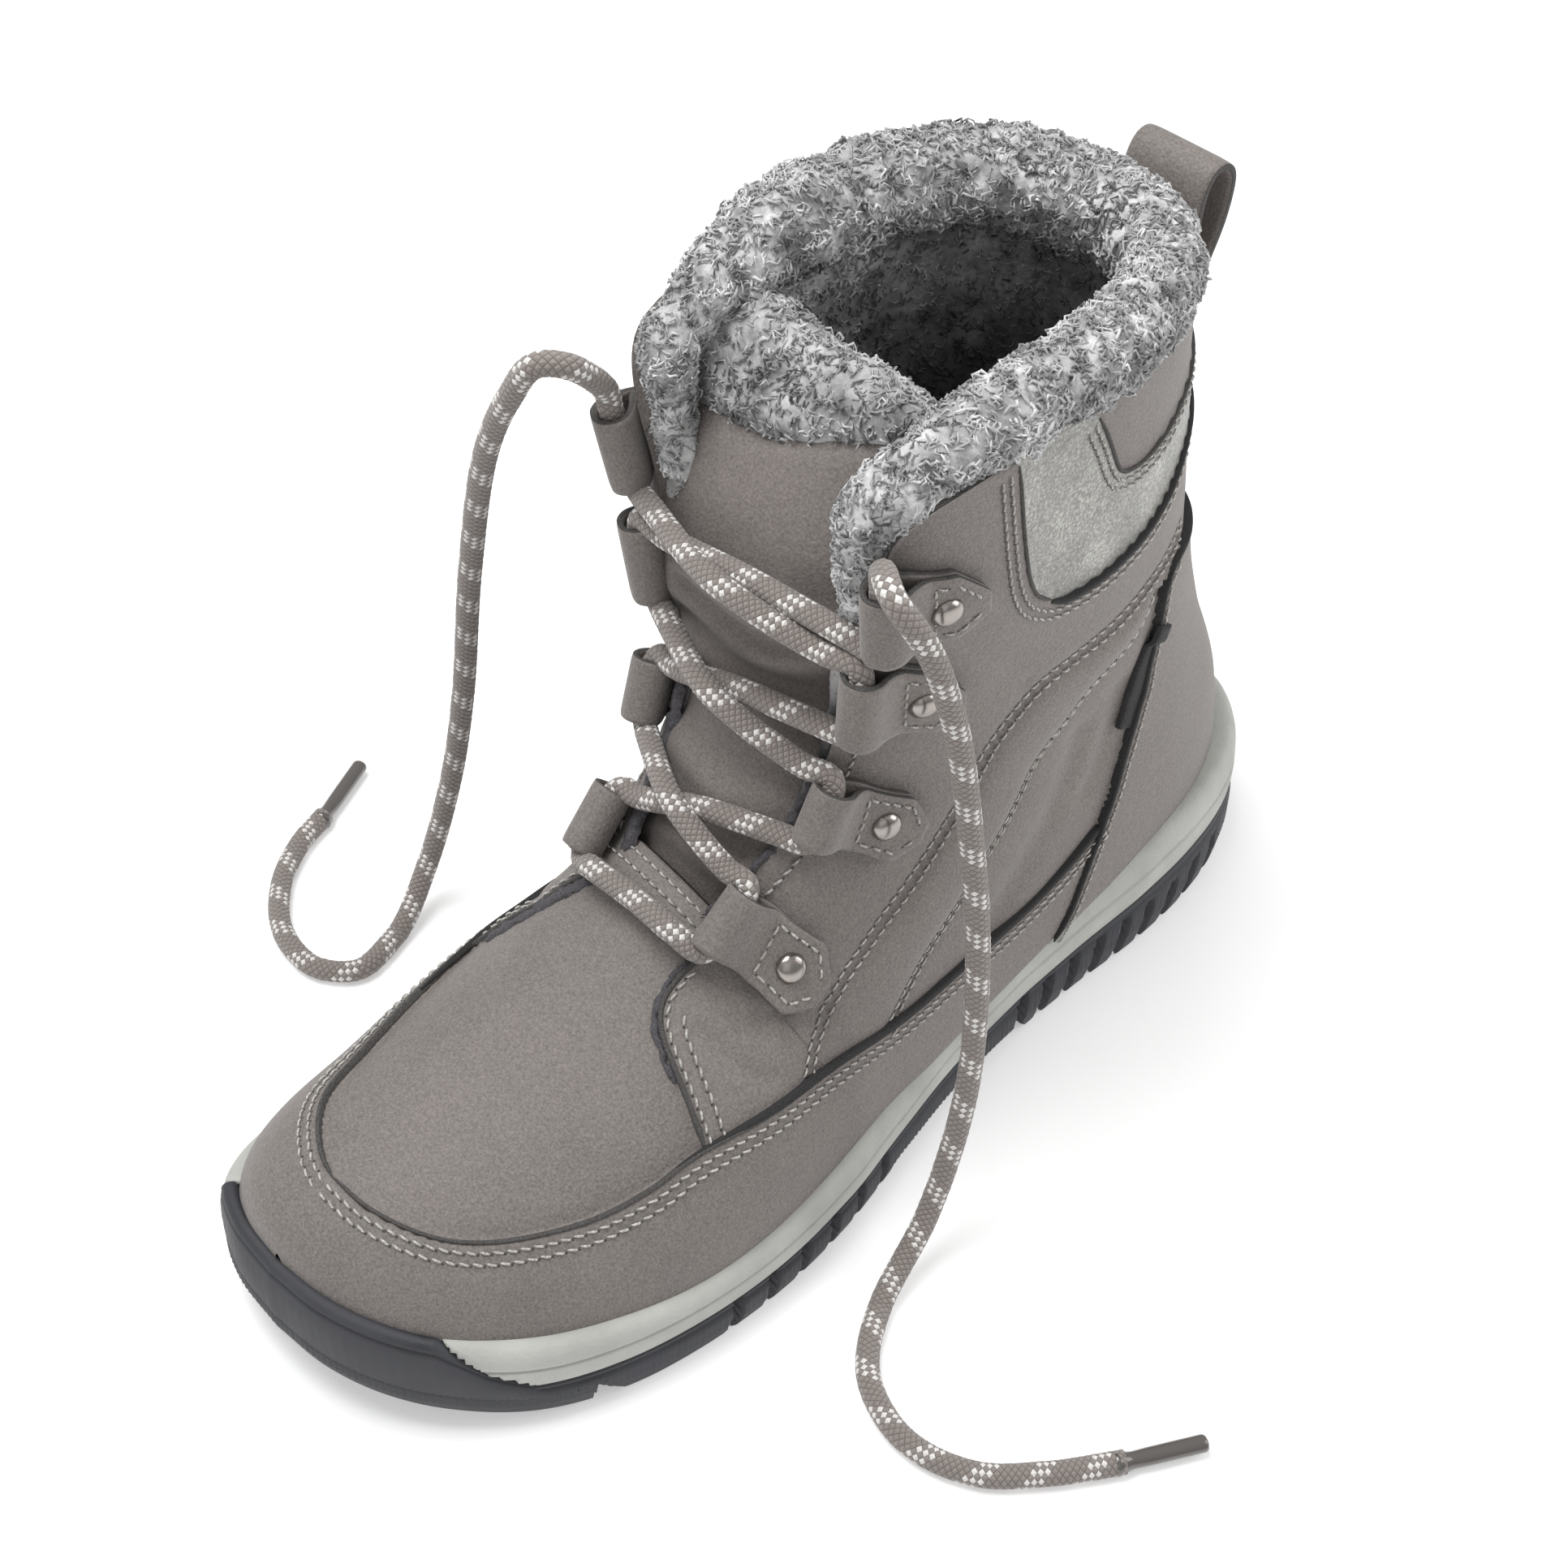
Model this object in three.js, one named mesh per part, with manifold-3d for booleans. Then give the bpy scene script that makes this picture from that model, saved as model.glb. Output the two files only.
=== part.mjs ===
// Lined winter ankle boot for the left foot, laced, on a two-part moulded sole.
// Millimetres, +Z up, toe toward -Y, outer (lateral) side toward +X, standing on Z = 0.
import * as THREE from "three";
import { mergeVertices } from "three/addons/utils/BufferGeometryUtils.js";
import Module from "manifold-3d";

const wasm = await Module();
wasm.setup();

// ---- driving dimensions ----
const gap = 0.35; // clearance kept between touching pieces
const wall = 7.5; // upper: leather, padding and deep pile lining together
const tongueThick = 9;
const insoleThick = 4;
const featherInset = 4; // upper's lower edge stands in from the sole's edge by this much
const bumperWall = 3.2; // toe bumper thickness, measured in from the sole's edge
const laceRadius = 2.5;
const eyeInner = 3.0; // hole of a lace loop
const strapThick = 1.4; // leather of a lace loop, one layer
const eyeLift = 5.2; // height of the lace's centre over the upper's surface
const tabThick = 3.0; // two layers of strap behind the loop
const rivetRadius = 3.2;
const pullWidth = 21;
const pullThick = 2;
const throatMidX = -2;
const throatBackY = 8; // the throat's cut goes back to here
const toeSections = 8; // sections up to this one stand upright, so an inset moves them whole

// The upper: a row for each section from toe tip to pile edge. A section's plane holds the X axis
// direction and runs from a front point (on the ridge) to a back point (sole, then heel and calf).
// Half widths are measured from midX; belly is the share of the way back where it is widest;
// the two round values are superellipse powers, 2 for an ellipse, more for a squarer form.
const upperNames = [
  "frontY", "frontZ", "backY", "backZ", "midX", "lateral", "medial", "belly", "frontRound", "backRound", "backInset",
];
const upperRows = table(upperNames, [
  [-136.8, 33, -136.8, 28, -10, 0.6, 0.6, 0.5, 2, 2, 0],
  [-135.4, 38, -135.4, 16, -10, 13.5, 13, 0.6, 2.1, 2.4, 0],
  [-131, 42, -131, 10, -9.8, 25, 23, 0.7, 2.2, 2.8, 0],
  [-123.5, 46, -123.5, 7, -9, 34, 30.5, 0.75, 2.2, 3.2, 0],
  [-112, 49.5, -112, 5, -8, 41, 36, 0.78, 2.1, 3.6, 0],
  [-96, 53.5, -96, 4, -6.5, 46.5, 40, 0.78, 2, 4, 0],
  [-78, 59, -78, 3, -5, 50, 42.5, 0.76, 2, 4, 0],
  [-61, 66, -60, 2, -4, 50.5, 42.5, 0.74, 2, 4, 0],
  [-49, 73, -38, 2, -3, 48, 40.5, 0.72, 2, 4, 0],
  [-40, 82, 0, 2, -2.5, 42.5, 37.5, 0.7, 2.2, 3.6, 0],
  [-33, 92, 45, 2, -2, 38.5, 35.5, 0.66, 2.5, 3.2, 0],
  [-26.5, 101, 93, 4, -2, 36, 35, 0.62, 2.8, 3, 0.3],
  [-22, 111, 126, 18, -2, 35, 35, 0.58, 3.2, 2.4, 1],
  [-20, 122, 130, 46, -2, 35, 35, 0.54, 3.5, 2, 1],
  [-19, 133, 117, 76, -2, 36, 36, 0.5, 3.8, 2, 1],
  [-19, 145, 107, 102, -2, 38, 38, 0.48, 4, 2, 1],
  [-20, 158, 100.5, 130, -2, 40, 40, 0.47, 4.2, 2, 1],
  [-22.5, 172, 97, 158, -2, 41, 41, 0.46, 4.4, 2, 1],
  [-25, 188, 94, 184, -2, 41.5, 41.5, 0.45, 4.6, 2, 1],
  [-24, 195, 93, 191, -2, 40, 40, 0.45, 4.4, 2, 1],
]);
const collarRow = upperRows.length - 1;

// The sole's outline seen from above, toe to heel.
const soleRows = table(["y", "lateralX", "medialX"], [
  [-140.75, -10, -10],
  [-139.2, 4, -24],
  [-134, 17, -36],
  [-125, 28.5, -43],
  [-112, 38.5, -47.5],
  [-95, 45.5, -49.8],
  [-75, 49.5, -50.5],
  [-54, 50.5, -49.3],
  [-33, 48.5, -45],
  [-12, 44, -40.5],
  [10, 39.5, -37.5],
  [33, 37, -36.5],
  [56, 36.5, -37],
  [79, 37, -38],
  [98, 35.5, -37.5],
  [114, 31.5, -34.5],
  [127, 24, -27],
  [136.5, 12.5, -15],
  [140.75, -1.5, -1.5],
]);

// Heights along the sole: its underside, the joint between outsole and midsole, and the feather
// edge where the upper sits.
const soleHeights = table(["y", "underside", "joint", "feather"], [
  [-145, 10.5, 19, 32.5],
  [-125, 5.2, 14.5, 26.5],
  [-108, 1.8, 12.2, 22.5],
  [-88, 0, 11.2, 20.6],
  [-60, 0, 10.8, 20],
  [-30, 0, 11, 21],
  [0, 0, 12, 22.5],
  [30, 0, 13.5, 25],
  [60, 0, 16, 29],
  [95, 0, 18.8, 33],
  [120, 0, 20, 34],
  [145, 3.5, 21, 34.5],
]);

// The midsole's side, from joint to feather: share of its height and how far in from the outline.
const midsoleSide = [
  // share, inset
  [0, 0.5],
  [0.4, 0.2],
  [0.5, 1.1],
  [0.58, 0.9],
  [1, 2.9],
];

// Side notches of the tread, as the Y where each leaves the sole's edge.
const foreNotches = [-99, -86, -73, -60, -47, -34, -21];
const heelNotches = [43, 52, 61, 70, 79, 88, 97, 106, 116];
const foreNotch = { width: 3.2, top: 6.2, turn: 14 };
const heelNotch = { width: 3, top: 8.5, turn: -16 };
const waistHollow = { from: -12, to: 35, rise: 5 };

// The tongue's middle line, front face: its half width, and how far its edges curve back.
const tongueRows = table(["y", "z", "halfWidth", "curveBack"], [
  [-58, 55.5, 15, 3],
  [-48, 61, 20, 5],
  [-40, 68, 23, 7],
  [-34.5, 77, 24, 9],
  [-31, 88, 25, 11],
  [-26, 99, 26, 13],
  [-19.5, 110, 26, 14],
  [-16, 124, 26, 14],
  [-15.5, 140, 27, 13],
  [-12, 154, 29, 12],
  [-5, 166, 31, 10],
  [3, 177, 32, 8],
  [9, 185.5, 31, 6.5],
  [11.5, 190, 25, 5],
]);

// The throat's half width at each height, seen from the front.
const throatRows = table(["z", "halfWidth"], [
  [77, 14],
  [82, 19.5],
  [92, 23],
  [106, 25.5],
  [124, 27],
  [142, 29],
  [160, 31.5],
  [176, 33],
  [205, 34],
]);

// The collar's front corners fall away to the throat along this line, seen from the side.
const cornerLine = [
  // y, z
  [-60, 160],
  [-22, 163.5],
  [-15, 167],
  [-4, 174],
  [4, 181],
  [8, 188],
  [9, 230],
];

// Lace loops from the lowest up: section rows of the loop's two ends, and turns round from the
// ridge of the loop, the rivet and the tab's tip.
const loopRows = table(["lowRow", "highRow", "eyeTurn", "rivetTurn", "tipTurn"], [
  [8.5, 9.65, 0.064, 0.115, 0.142],
  [10.9, 12.15, 0.08, 0.126, 0.151],
  [13.45, 14.95, 0.092, 0.15, 0.182],
  [15.5, 16.75, 0.108, 0.165, 0.2],
]);

// Free lace ends, from the top loops to where the tips start.
const lateralEnd = [
  [42, -25, 172],
  [48, -21.5, 162],
  [51, -15.5, 141],
  [53.5, -11, 112],
  [57.5, -9.5, 78],
  [61, -13, 42],
  [63, -24, 13],
  [68, -43, 2.6],
  [78.5, -57, 2.6],
  [94, -62, 2.6],
  [108.5, -57.5, 2.6],
  [119, -46.5, 2.6],
  [128, -33, 2.6],
];
const medialEnd = [
  [-39.5, -29.5, 181],
  [-43.5, -33.5, 181],
  [-50, -35, 171],
  [-59, -34.5, 153],
  [-72.5, -30.5, 112],
  [-82, -28, 68],
  [-88, -29, 38],
  [-90.5, -36, 13],
  [-85.5, -50, 2.6],
  [-82.5, -64, 2.6],
  [-90, -71, 2.6],
  [-104, -70, 2.6],
  [-117, -61, 2.6],
  [-125, -49.5, 2.6],
  [-129, -38.5, 2.6],
];
const agletTips = { lateral: [136.5, -17.5, 2.6], medial: [-137.5, -20.5, 2.6] };

// ---- helpers: tables, meshes and solids ----
const lerp = THREE.MathUtils.lerp;
const degrees = THREE.MathUtils.degToRad;

// Rows of numbers as records with named columns.
function table(names, rows) {
  return rows.map((row) => Object.fromEntries(names.map((name, i) => [name, row[i]])));
}

// One column of a table at a fractional row, by a Catmull-Rom curve through the rows.
function atRow(rows, column, row) {
  const last = rows.length - 1;
  const i = Math.min(Math.max(Math.floor(row), 0), last - 1);
  const f = row - i;
  const b = rows[i][column];
  const c = rows[i + 1][column];
  const a = i > 0 ? rows[i - 1][column] : 2 * b - c;
  const d = i < last - 1 ? rows[i + 2][column] : 2 * c - b;
  return b + 0.5 * f * (c - a + f * (2 * a - 5 * b + 4 * c - d + f * (3 * (b - c) + d - a)));
}

// One column of the sole's heights at a distance along the foot.
function soleHeight(column, y) {
  let i = 0;
  while (i < soleHeights.length - 2 && y > soleHeights[i + 1].y) i += 1;
  const f = (y - soleHeights[i].y) / (soleHeights[i + 1].y - soleHeights[i].y);
  return atRow(soleHeights, column, i + Math.min(Math.max(f, 0), 1));
}

function steps(count, from, to) {
  return Array.from({ length: count + 1 }, (_, i) => lerp(from, to, i / count));
}

function solidOf(geometry) {
  const bare = geometry.index ? geometry.toNonIndexed() : geometry.clone();
  bare.deleteAttribute("normal");
  bare.deleteAttribute("uv");
  const merged = mergeVertices(bare, 1e-4);
  const vertProperties = new Float32Array(merged.attributes.position.array);
  const triVerts = new Uint32Array(merged.index.array);
  return new wasm.Manifold(new wasm.Mesh({ numProp: 3, vertProperties, triVerts }));
}

function geometryOf(solid) {
  const mesh = solid.getMesh();
  const geometry = new THREE.BufferGeometry();
  const position = new Float32Array(mesh.numVert * 3);
  for (let i = 0; i < mesh.numVert; i += 1) {
    position.set(mesh.vertProperties.subarray(i * mesh.numProp, i * mesh.numProp + 3), i * 3);
  }
  geometry.setAttribute("position", new THREE.BufferAttribute(position, 3));
  geometry.setIndex(new THREE.BufferAttribute(mesh.triVerts, 1));
  geometry.computeVertexNormals();
  return geometry;
}

// A closed solid through rings of equally many points, its two ends closed by fans.
function loft(rings) {
  const count = rings[0].length;
  const points = rings.flat();
  const first = points.length;
  for (const ring of [rings[0], rings[rings.length - 1]]) {
    points.push(ring.reduce((sum, p) => sum.add(p), new THREE.Vector3()).divideScalar(count));
  }
  const index = [];
  for (let r = 0; r < rings.length - 1; r += 1) {
    for (let k = 0; k < count; k += 1) {
      const a = r * count + k;
      const b = r * count + ((k + 1) % count);
      index.push(a, b, b + count, a, b + count, a + count);
    }
  }
  const end = (rings.length - 1) * count;
  for (let k = 0; k < count; k += 1) {
    const next = (k + 1) % count;
    index.push(first, next, k, first + 1, end + k, end + next);
  }
  return facingOut(points, index);
}

function facingOut(points, index) {
  let volume = 0;
  for (let i = 0; i < index.length; i += 3) {
    const [a, b, c] = [points[index[i]], points[index[i + 1]], points[index[i + 2]]];
    volume += a.dot(new THREE.Vector3().crossVectors(b, c));
  }
  if (volume < 0) index.reverse();
  const geometry = new THREE.BufferGeometry().setFromPoints(points);
  geometry.setIndex(index);
  return solidOf(geometry);
}

// A block with the given outline in the side view (Y, Z), running across in X.
function sideBlock(outline, halfWidth = 90, midX = 0) {
  const shape = new THREE.Shape(outline.map(([y, z]) => new THREE.Vector2(y, z)));
  const geometry = new THREE.ExtrudeGeometry(shape, { depth: 2 * halfWidth, bevelEnabled: false });
  const turn = new THREE.Matrix4().makeBasis(
    new THREE.Vector3(0, 1, 0),
    new THREE.Vector3(0, 0, 1),
    new THREE.Vector3(1, 0, 0),
  );
  geometry.applyMatrix4(turn);
  geometry.translate(midX - halfWidth, 0, 0);
  return solidOf(geometry);
}

// The largest body of a solid, without the crumbs that a cut leaves.
function largest(solid) {
  return solid.decompose().reduce((a, b) => (a.volume() > b.volume() ? a : b));
}

function tube(points, radius, sides, count) {
  const through = points.map((p) => new THREE.Vector3(...p));
  const loose = new THREE.CatmullRomCurve3(through, false, "centripetal").getSpacedPoints(count);
  const onFloor = loose.map((p) => p.setZ(Math.max(p.z, laceRadius + 0.1)));
  const path = new THREE.CatmullRomCurve3(onFloor);
  const ring = steps(sides, 0, 2 * Math.PI)
    .slice(0, sides)
    .map((t) => new THREE.Vector2(radius * Math.cos(t), radius * Math.sin(t)));
  const options = { steps: count, extrudePath: path, bevelEnabled: false };
  return solidOf(new THREE.ExtrudeGeometry(new THREE.Shape(ring), options));
}

// ---- the upper's form ----
// A point of the form: row from toe to collar, turn round from the ridge (0) to the back (0.5),
// positive on the lateral side; inset moves the form inward.
function upperPoint(row, turn, inset = 0) {
  const value = (column) => atRow(upperRows, column, row);
  const slope = (column) => value(column) - atRow(upperRows, column, row - 0.02);
  const front = new THREE.Vector2(value("frontY"), value("frontZ"));
  const back = new THREE.Vector2(value("backY"), value("backZ"));
  const frontRun = new THREE.Vector2(slope("frontY"), slope("frontZ")).normalize();
  const backRun = new THREE.Vector2(slope("backY"), slope("backZ")).normalize();
  const share = Math.min(Math.max(value("backInset"), 0), 1);
  const frontMove = new THREE.Vector2(frontRun.y, -frontRun.x).multiplyScalar(inset);
  const backMove = new THREE.Vector2(-backRun.y, backRun.x).multiplyScalar(inset * share);
  front.add(frontMove);
  back.add(backMove);
  if (row < toeSections) back.x += frontMove.x * (1 - share);
  const halfWidth = value(turn >= 0 ? "lateral" : "medial");
  const width = Math.max(halfWidth - (inset * halfWidth) / (halfWidth + 3), 0.3);
  const angle = Math.abs(turn) * 2 * Math.PI;
  const nearFront = angle <= Math.PI / 2;
  const power = 2 / value(nearFront ? "frontRound" : "backRound");
  const across = Math.abs(Math.sin(angle)) ** power;
  const along = Math.abs(Math.cos(angle)) ** power;
  const belly = value("belly");
  const way = nearFront ? belly * (1 - along) : belly + (1 - belly) * along;
  return new THREE.Vector3(
    value("midX") + Math.sign(turn) * width * across,
    lerp(front.x, back.x, way),
    lerp(front.y, back.y, way),
  );
}

function upperNormal(row, turn) {
  const d = 0.01;
  const alongRow = upperPoint(row + d, turn).sub(upperPoint(row - d, turn));
  const around = upperPoint(row, turn + d / 2).sub(upperPoint(row, turn - d / 2));
  const normal = new THREE.Vector3().crossVectors(around, alongRow).normalize();
  return normal;
}

function upperForm(inset, rowList, around, topExtra = 0) {
  const turns = steps(around, -0.5, 0.5).slice(1);
  const rings = rowList.map((row) => turns.map((turn) => upperPoint(row, turn, inset)));
  if (topExtra) {
    const top = rings[rings.length - 1].map((p) => p.clone().setZ(p.z + topExtra));
    rings.push(top);
  }
  return loft(rings);
}

const outerRows = [...steps(3, 0, 1), ...steps(7, 1.4, 4), ...steps(18, 4.7, 17), ...steps(3, 17.6, collarRow)];
const innerRows = [...steps(2, 0, 1), ...steps(4, 1.6, 4), ...steps(12, 5, collarRow)];
const aroundOuter = 36;
const aroundInner = 28;

function featherBlock(raise) {
  const top = steps(50, -150, 150).map((y) => [y, soleHeight("feather", y) + raise]);
  return sideBlock([...top, [150, -40], [-150, -40]]);
}

function throatBlock(shrink) {
  const side = throatRows.map(({ z, halfWidth }) => [halfWidth - shrink, z]);
  side[0][1] += shrink;
  const right = side.map(([x, z]) => new THREE.Vector2(throatMidX + x, z));
  const left = side.reverse().map(([x, z]) => new THREE.Vector2(throatMidX - x, z));
  const geometry = new THREE.ExtrudeGeometry(new THREE.Shape([...right, ...left]), { depth: 90, bevelEnabled: false });
  geometry.rotateX(Math.PI / 2);
  geometry.translate(0, throatBackY, 0);
  return solidOf(geometry);
}

function cornerBlock(shrink) {
  return sideBlock([...cornerLine.map(([y, z]) => [y - shrink, z + shrink]), [-60 - shrink, 230]]);
}

function upperShell(grow) {
  return upperForm(-grow, outerRows, aroundOuter)
    .subtract(upperForm(wall + grow, innerRows, aroundInner, 20))
    .subtract(featherBlock(gap - grow))
    .subtract(throatBlock(grow))
    .subtract(cornerBlock(grow));
}

// ---- the sole ----
function soleRing(inset, height) {
  const rows = [...steps(4, 0, 1), ...steps(24, 1.3, 16.7), ...steps(4, 17, 18)];
  const side = (column) => rows.map((row) => [atRow(soleRows, column, row), atRow(soleRows, "y", row)]);
  const medial = side("medialX").slice(1, -1).reverse();
  const outline = [...side("lateralX"), ...medial];
  return outline.map(([x, y], i) => {
    const [nextX, nextY] = outline[(i + 1) % outline.length];
    const [lastX, lastY] = outline[(i + outline.length - 1) % outline.length];
    const out = new THREE.Vector2(nextY - lastY, lastX - nextX).normalize();
    const [px, py] = [x - out.x * inset, y - out.y * inset];
    return new THREE.Vector3(px, py, height(py));
  });
}

// A sole layer between stacked rings; its two flat sides are closed straight across the foot.
function soleLayer(levels) {
  const rings = levels.map(([inset, height]) => soleRing(inset, height));
  const count = rings[0].length;
  const half = count / 2;
  const index = [];
  for (let r = 0; r < rings.length - 1; r += 1) {
    for (let k = 0; k < count; k += 1) {
      const a = r * count + k;
      const b = r * count + ((k + 1) % count);
      index.push(a, b, b + count, a, b + count, a + count);
    }
  }
  const end = (rings.length - 1) * count;
  for (let k = 0; k < half; k += 1) {
    const [a, b] = [k, k + 1];
    const [c, d] = [(count - k) % count, count - k - 1];
    index.push(a, d, b, end + a, end + b, end + d);
    if (k > 0) index.push(a, c, d, end + a, end + d, end + c);
  }
  const clean = [];
  for (let i = 0; i < index.length; i += 3) {
    const [a, b, c] = index.slice(i, i + 3);
    if (a !== b && b !== c && a !== c) clean.push(a, b, c);
  }
  return facingOut(rings.flat(), clean);
}

const feather = (y) => soleHeight("feather", y);
const joint = (y) => soleHeight("joint", y);
const underside = (y) => Math.max(soleHeight("underside", y), 0);

// The part of the toe that the bumper covers, seen from the side.
function bumperZone(grow) {
  const back = [[-97, 9], [-104, 15], [-119, 27], [-122, 60]];
  return sideBlock([...back.map(([y, z]) => [y + grow, z + grow]), [-170, 60], [-170, -30], [-97 + grow, -30]]);
}

function bumper(grow) {
  const outer = soleLayer([
    [0.4 - grow, (y) => joint(y) - 3],
    [-grow, (y) => lerp(joint(y), feather(y), 0.5)],
    [1.4 - grow, (y) => feather(y) + 0.4 + grow],
  ]);
  const inner = soleLayer([
    [bumperWall + grow, (y) => joint(y) - gap - grow],
    [bumperWall + grow, (y) => feather(y) + 8],
  ]);
  return outer.subtract(inner).intersect(bumperZone(grow));
}

function notch({ width, top, turn }, y, side) {
  const length = 60;
  const geometry = new THREE.BoxGeometry(length, width, top + 20);
  geometry.translate(length / 2, 0, (top + 20) / 2 - 20);
  geometry.rotateZ(degrees(side > 0 ? turn : 180 - turn));
  geometry.translate(side > 0 ? 5 : -8, y, 0);
  return solidOf(geometry);
}

function outsole() {
  const body = soleLayer([
    [1.6, underside],
    [0, (y) => underside(y) + 2.5],
    [0.4, (y) => joint(y) - gap],
  ]);
  const hollow = sideBlock([
    [waistHollow.from - 6, -5],
    [waistHollow.from, waistHollow.rise],
    [waistHollow.to, waistHollow.rise],
    [waistHollow.to + 5, -5],
  ]);
  let made = body.subtract(hollow).add(bumper(0));
  for (const side of [-1, 1]) {
    for (const y of foreNotches) made = made.subtract(notch(foreNotch, y, side));
    for (const y of heelNotches) made = made.subtract(notch(heelNotch, y, side));
  }
  return made;
}

function midsole() {
  const levels = midsoleSide.map(([share, inset]) => [inset, (y) => lerp(joint(y), feather(y), share)]);
  return soleLayer(levels).subtract(bumper(gap));
}

function insole() {
  const slab = soleLayer([
    [featherInset + wall + 1, (y) => feather(y) + gap],
    [featherInset + wall + 1, (y) => feather(y) + gap + insoleThick],
  ]);
  return slab.intersect(upperForm(wall + gap, innerRows, aroundInner, 20));
}

// ---- tongue ----
function tongue() {
  const rings = steps(20, 0, tongueRows.length - 1).map((row) => {
    const value = (column) => atRow(tongueRows, column, row);
    const run = new THREE.Vector2(
      atRow(tongueRows, "y", row + 0.05) - atRow(tongueRows, "y", row - 0.05),
      atRow(tongueRows, "z", row + 0.05) - atRow(tongueRows, "z", row - 0.05),
    ).normalize();
    const inward = new THREE.Vector2(run.y, -run.x);
    const place = (s, depth) => {
      const x = throatMidX + s * value("halfWidth");
      return new THREE.Vector3(x, value("y") + inward.x * depth, value("z") + inward.y * depth);
    };
    const across = steps(6, -1, 1);
    const curve = (s) => value("curveBack") * s * s;
    const outer = across.map((s) => place(s, curve(s)));
    const inner = across.reverse().map((s) => place(s, curve(s) + tongueThick * (1 - 0.55 * s * s)));
    return [...outer, ...inner];
  });
  return largest(loft(rings).subtract(upperShell(gap)));
}

// ---- pull loop ----
function pullLoop() {
  const centre = [[98.3, 156], [98.6, 172], [99.2, 184], [101.8, 189.6], [106, 190], [108.6, 186], [107.5, 177], [103.5, 167]];
  const curve = new THREE.CatmullRomCurve3(centre.map(([y, z]) => new THREE.Vector3(y, z, 0)));
  const run = steps(22, 0, 1).map((t) => ({ at: curve.getPoint(t), along: curve.getTangent(t) }));
  const side = (sign) =>
    run.map(({ at, along }) => [at.x - (sign * along.y * pullThick) / 2, at.y + (sign * along.x * pullThick) / 2]);
  const outline = [...side(1), ...side(-1).reverse()];
  return sideBlock(outline, pullWidth / 2, throatMidX);
}

// ---- lace loops and rivets ----
const sideSign = { lateral: 1, medial: -1 };

function eyeEnds({ lowRow, highRow, eyeTurn }, sign) {
  return [lowRow, highRow].map((row) => {
    const at = upperPoint(row, sign * eyeTurn);
    return at.addScaledVector(upperNormal(row, sign * eyeTurn), eyeLift);
  });
}

function eyeRing(from, to) {
  const outer = eyeInner + strapThick;
  const shape = new THREE.Shape().absarc(0, 0, outer, 0, 2 * Math.PI);
  shape.holes.push(new THREE.Path().absarc(0, 0, eyeInner, 0, 2 * Math.PI));
  const length = from.distanceTo(to);
  const geometry = new THREE.ExtrudeGeometry(shape, { depth: length, bevelEnabled: false, curveSegments: 6 });
  const axis = to.clone().sub(from).normalize();
  geometry.applyQuaternion(new THREE.Quaternion().setFromUnitVectors(new THREE.Vector3(0, 0, 1), axis));
  geometry.translate(from.x, from.y, from.z);
  return solidOf(geometry);
}

// The tab behind a loop: a patch of the upper's form between two heights over its surface, with a
// pointed end.
function tab({ lowRow, highRow, eyeTurn, tipTurn }, sign) {
  const middle = (lowRow + highRow) / 2;
  const lifted = (row, turn, height) => upperPoint(row, turn).addScaledVector(upperNormal(row, turn), height);
  const eye = lifted(middle, sign * eyeTurn, eyeLift);
  let start = eyeTurn;
  while (lifted(middle, sign * start, gap + tabThick).distanceTo(eye) < eyeInner + 0.15) start += 0.001;
  const place = (q, r, height) => {
    const narrow = q > 0.8 ? 1 - ((q - 0.8) / 0.2) * 0.55 : 1;
    return lifted(middle + (r * narrow * (highRow - lowRow)) / 2, sign * lerp(start, tipTurn, q), height);
  };
  const rings = [0, 0.27, 0.54, 0.8, 1].map((q) => {
    const across = steps(2, -1, 1);
    const top = across.map((r) => place(q, r, gap + tabThick));
    const bottom = across.reverse().map((r) => place(q, r, gap + 0.2));
    return [...top, ...bottom];
  });
  return loft(rings);
}

function laceLoop(row, sign) {
  const [from, to] = eyeEnds(row, sign);
  return eyeRing(from, to).add(tab(row, sign));
}

function rivet({ lowRow, highRow, rivetTurn }, sign) {
  const row = (lowRow + highRow) / 2;
  const normal = upperNormal(row, sign * rivetTurn);
  const at = upperPoint(row, sign * rivetTurn).addScaledVector(normal, 2 * gap + tabThick + 0.15);
  const rise = 1.7;
  const dome = steps(2, 0, Math.PI / 2).map((t) => new THREE.Vector2(rivetRadius * Math.cos(t), 0.4 + rise * Math.sin(t)));
  dome[dome.length - 1].x = 0;
  const geometry = new THREE.LatheGeometry([new THREE.Vector2(0, 0), new THREE.Vector2(rivetRadius, 0), ...dome], 10);
  geometry.applyQuaternion(new THREE.Quaternion().setFromUnitVectors(new THREE.Vector3(0, 1, 0), normal));
  geometry.translate(at.x, at.y, at.z);
  return solidOf(geometry);
}

// ---- laces ----
// A lace run from below one loop over the tongue to another loop's end.
function laceRun(from, fromAway, to, toAway, middle) {
  const start = from.clone().add(fromAway);
  const finish = to.clone().add(toAway);
  return tube([start.toArray(), middle.toArray(), finish.toArray()], laceRadius, 8, 9);
}

function bridge(a, b, row, lift) {
  const middle = a.clone().add(b).multiplyScalar(0.5);
  const ridge = upperPoint(row, 0.0001).addScaledVector(upperNormal(row, 0.001), lift);
  return new THREE.Vector3(middle.x, Math.min(middle.y, ridge.y), Math.max(middle.z, Math.min(ridge.z, middle.z + 4)));
}

const ends = Object.fromEntries(
  Object.entries(sideSign).map(([name, sign]) => [name, loopRows.map((row) => eyeEnds(row, sign))]),
);

// How far a run's end stands clear of a loop: out of its hole and toward the other side.
function away(side, loop, end) {
  const [low, high] = ends[side][loop];
  const axis = high.clone().sub(low).normalize();
  return axis.multiplyScalar(end === "low" ? -3.1 : 3.1).add(new THREE.Vector3(-2 * sideSign[side], 0, 0));
}

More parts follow.
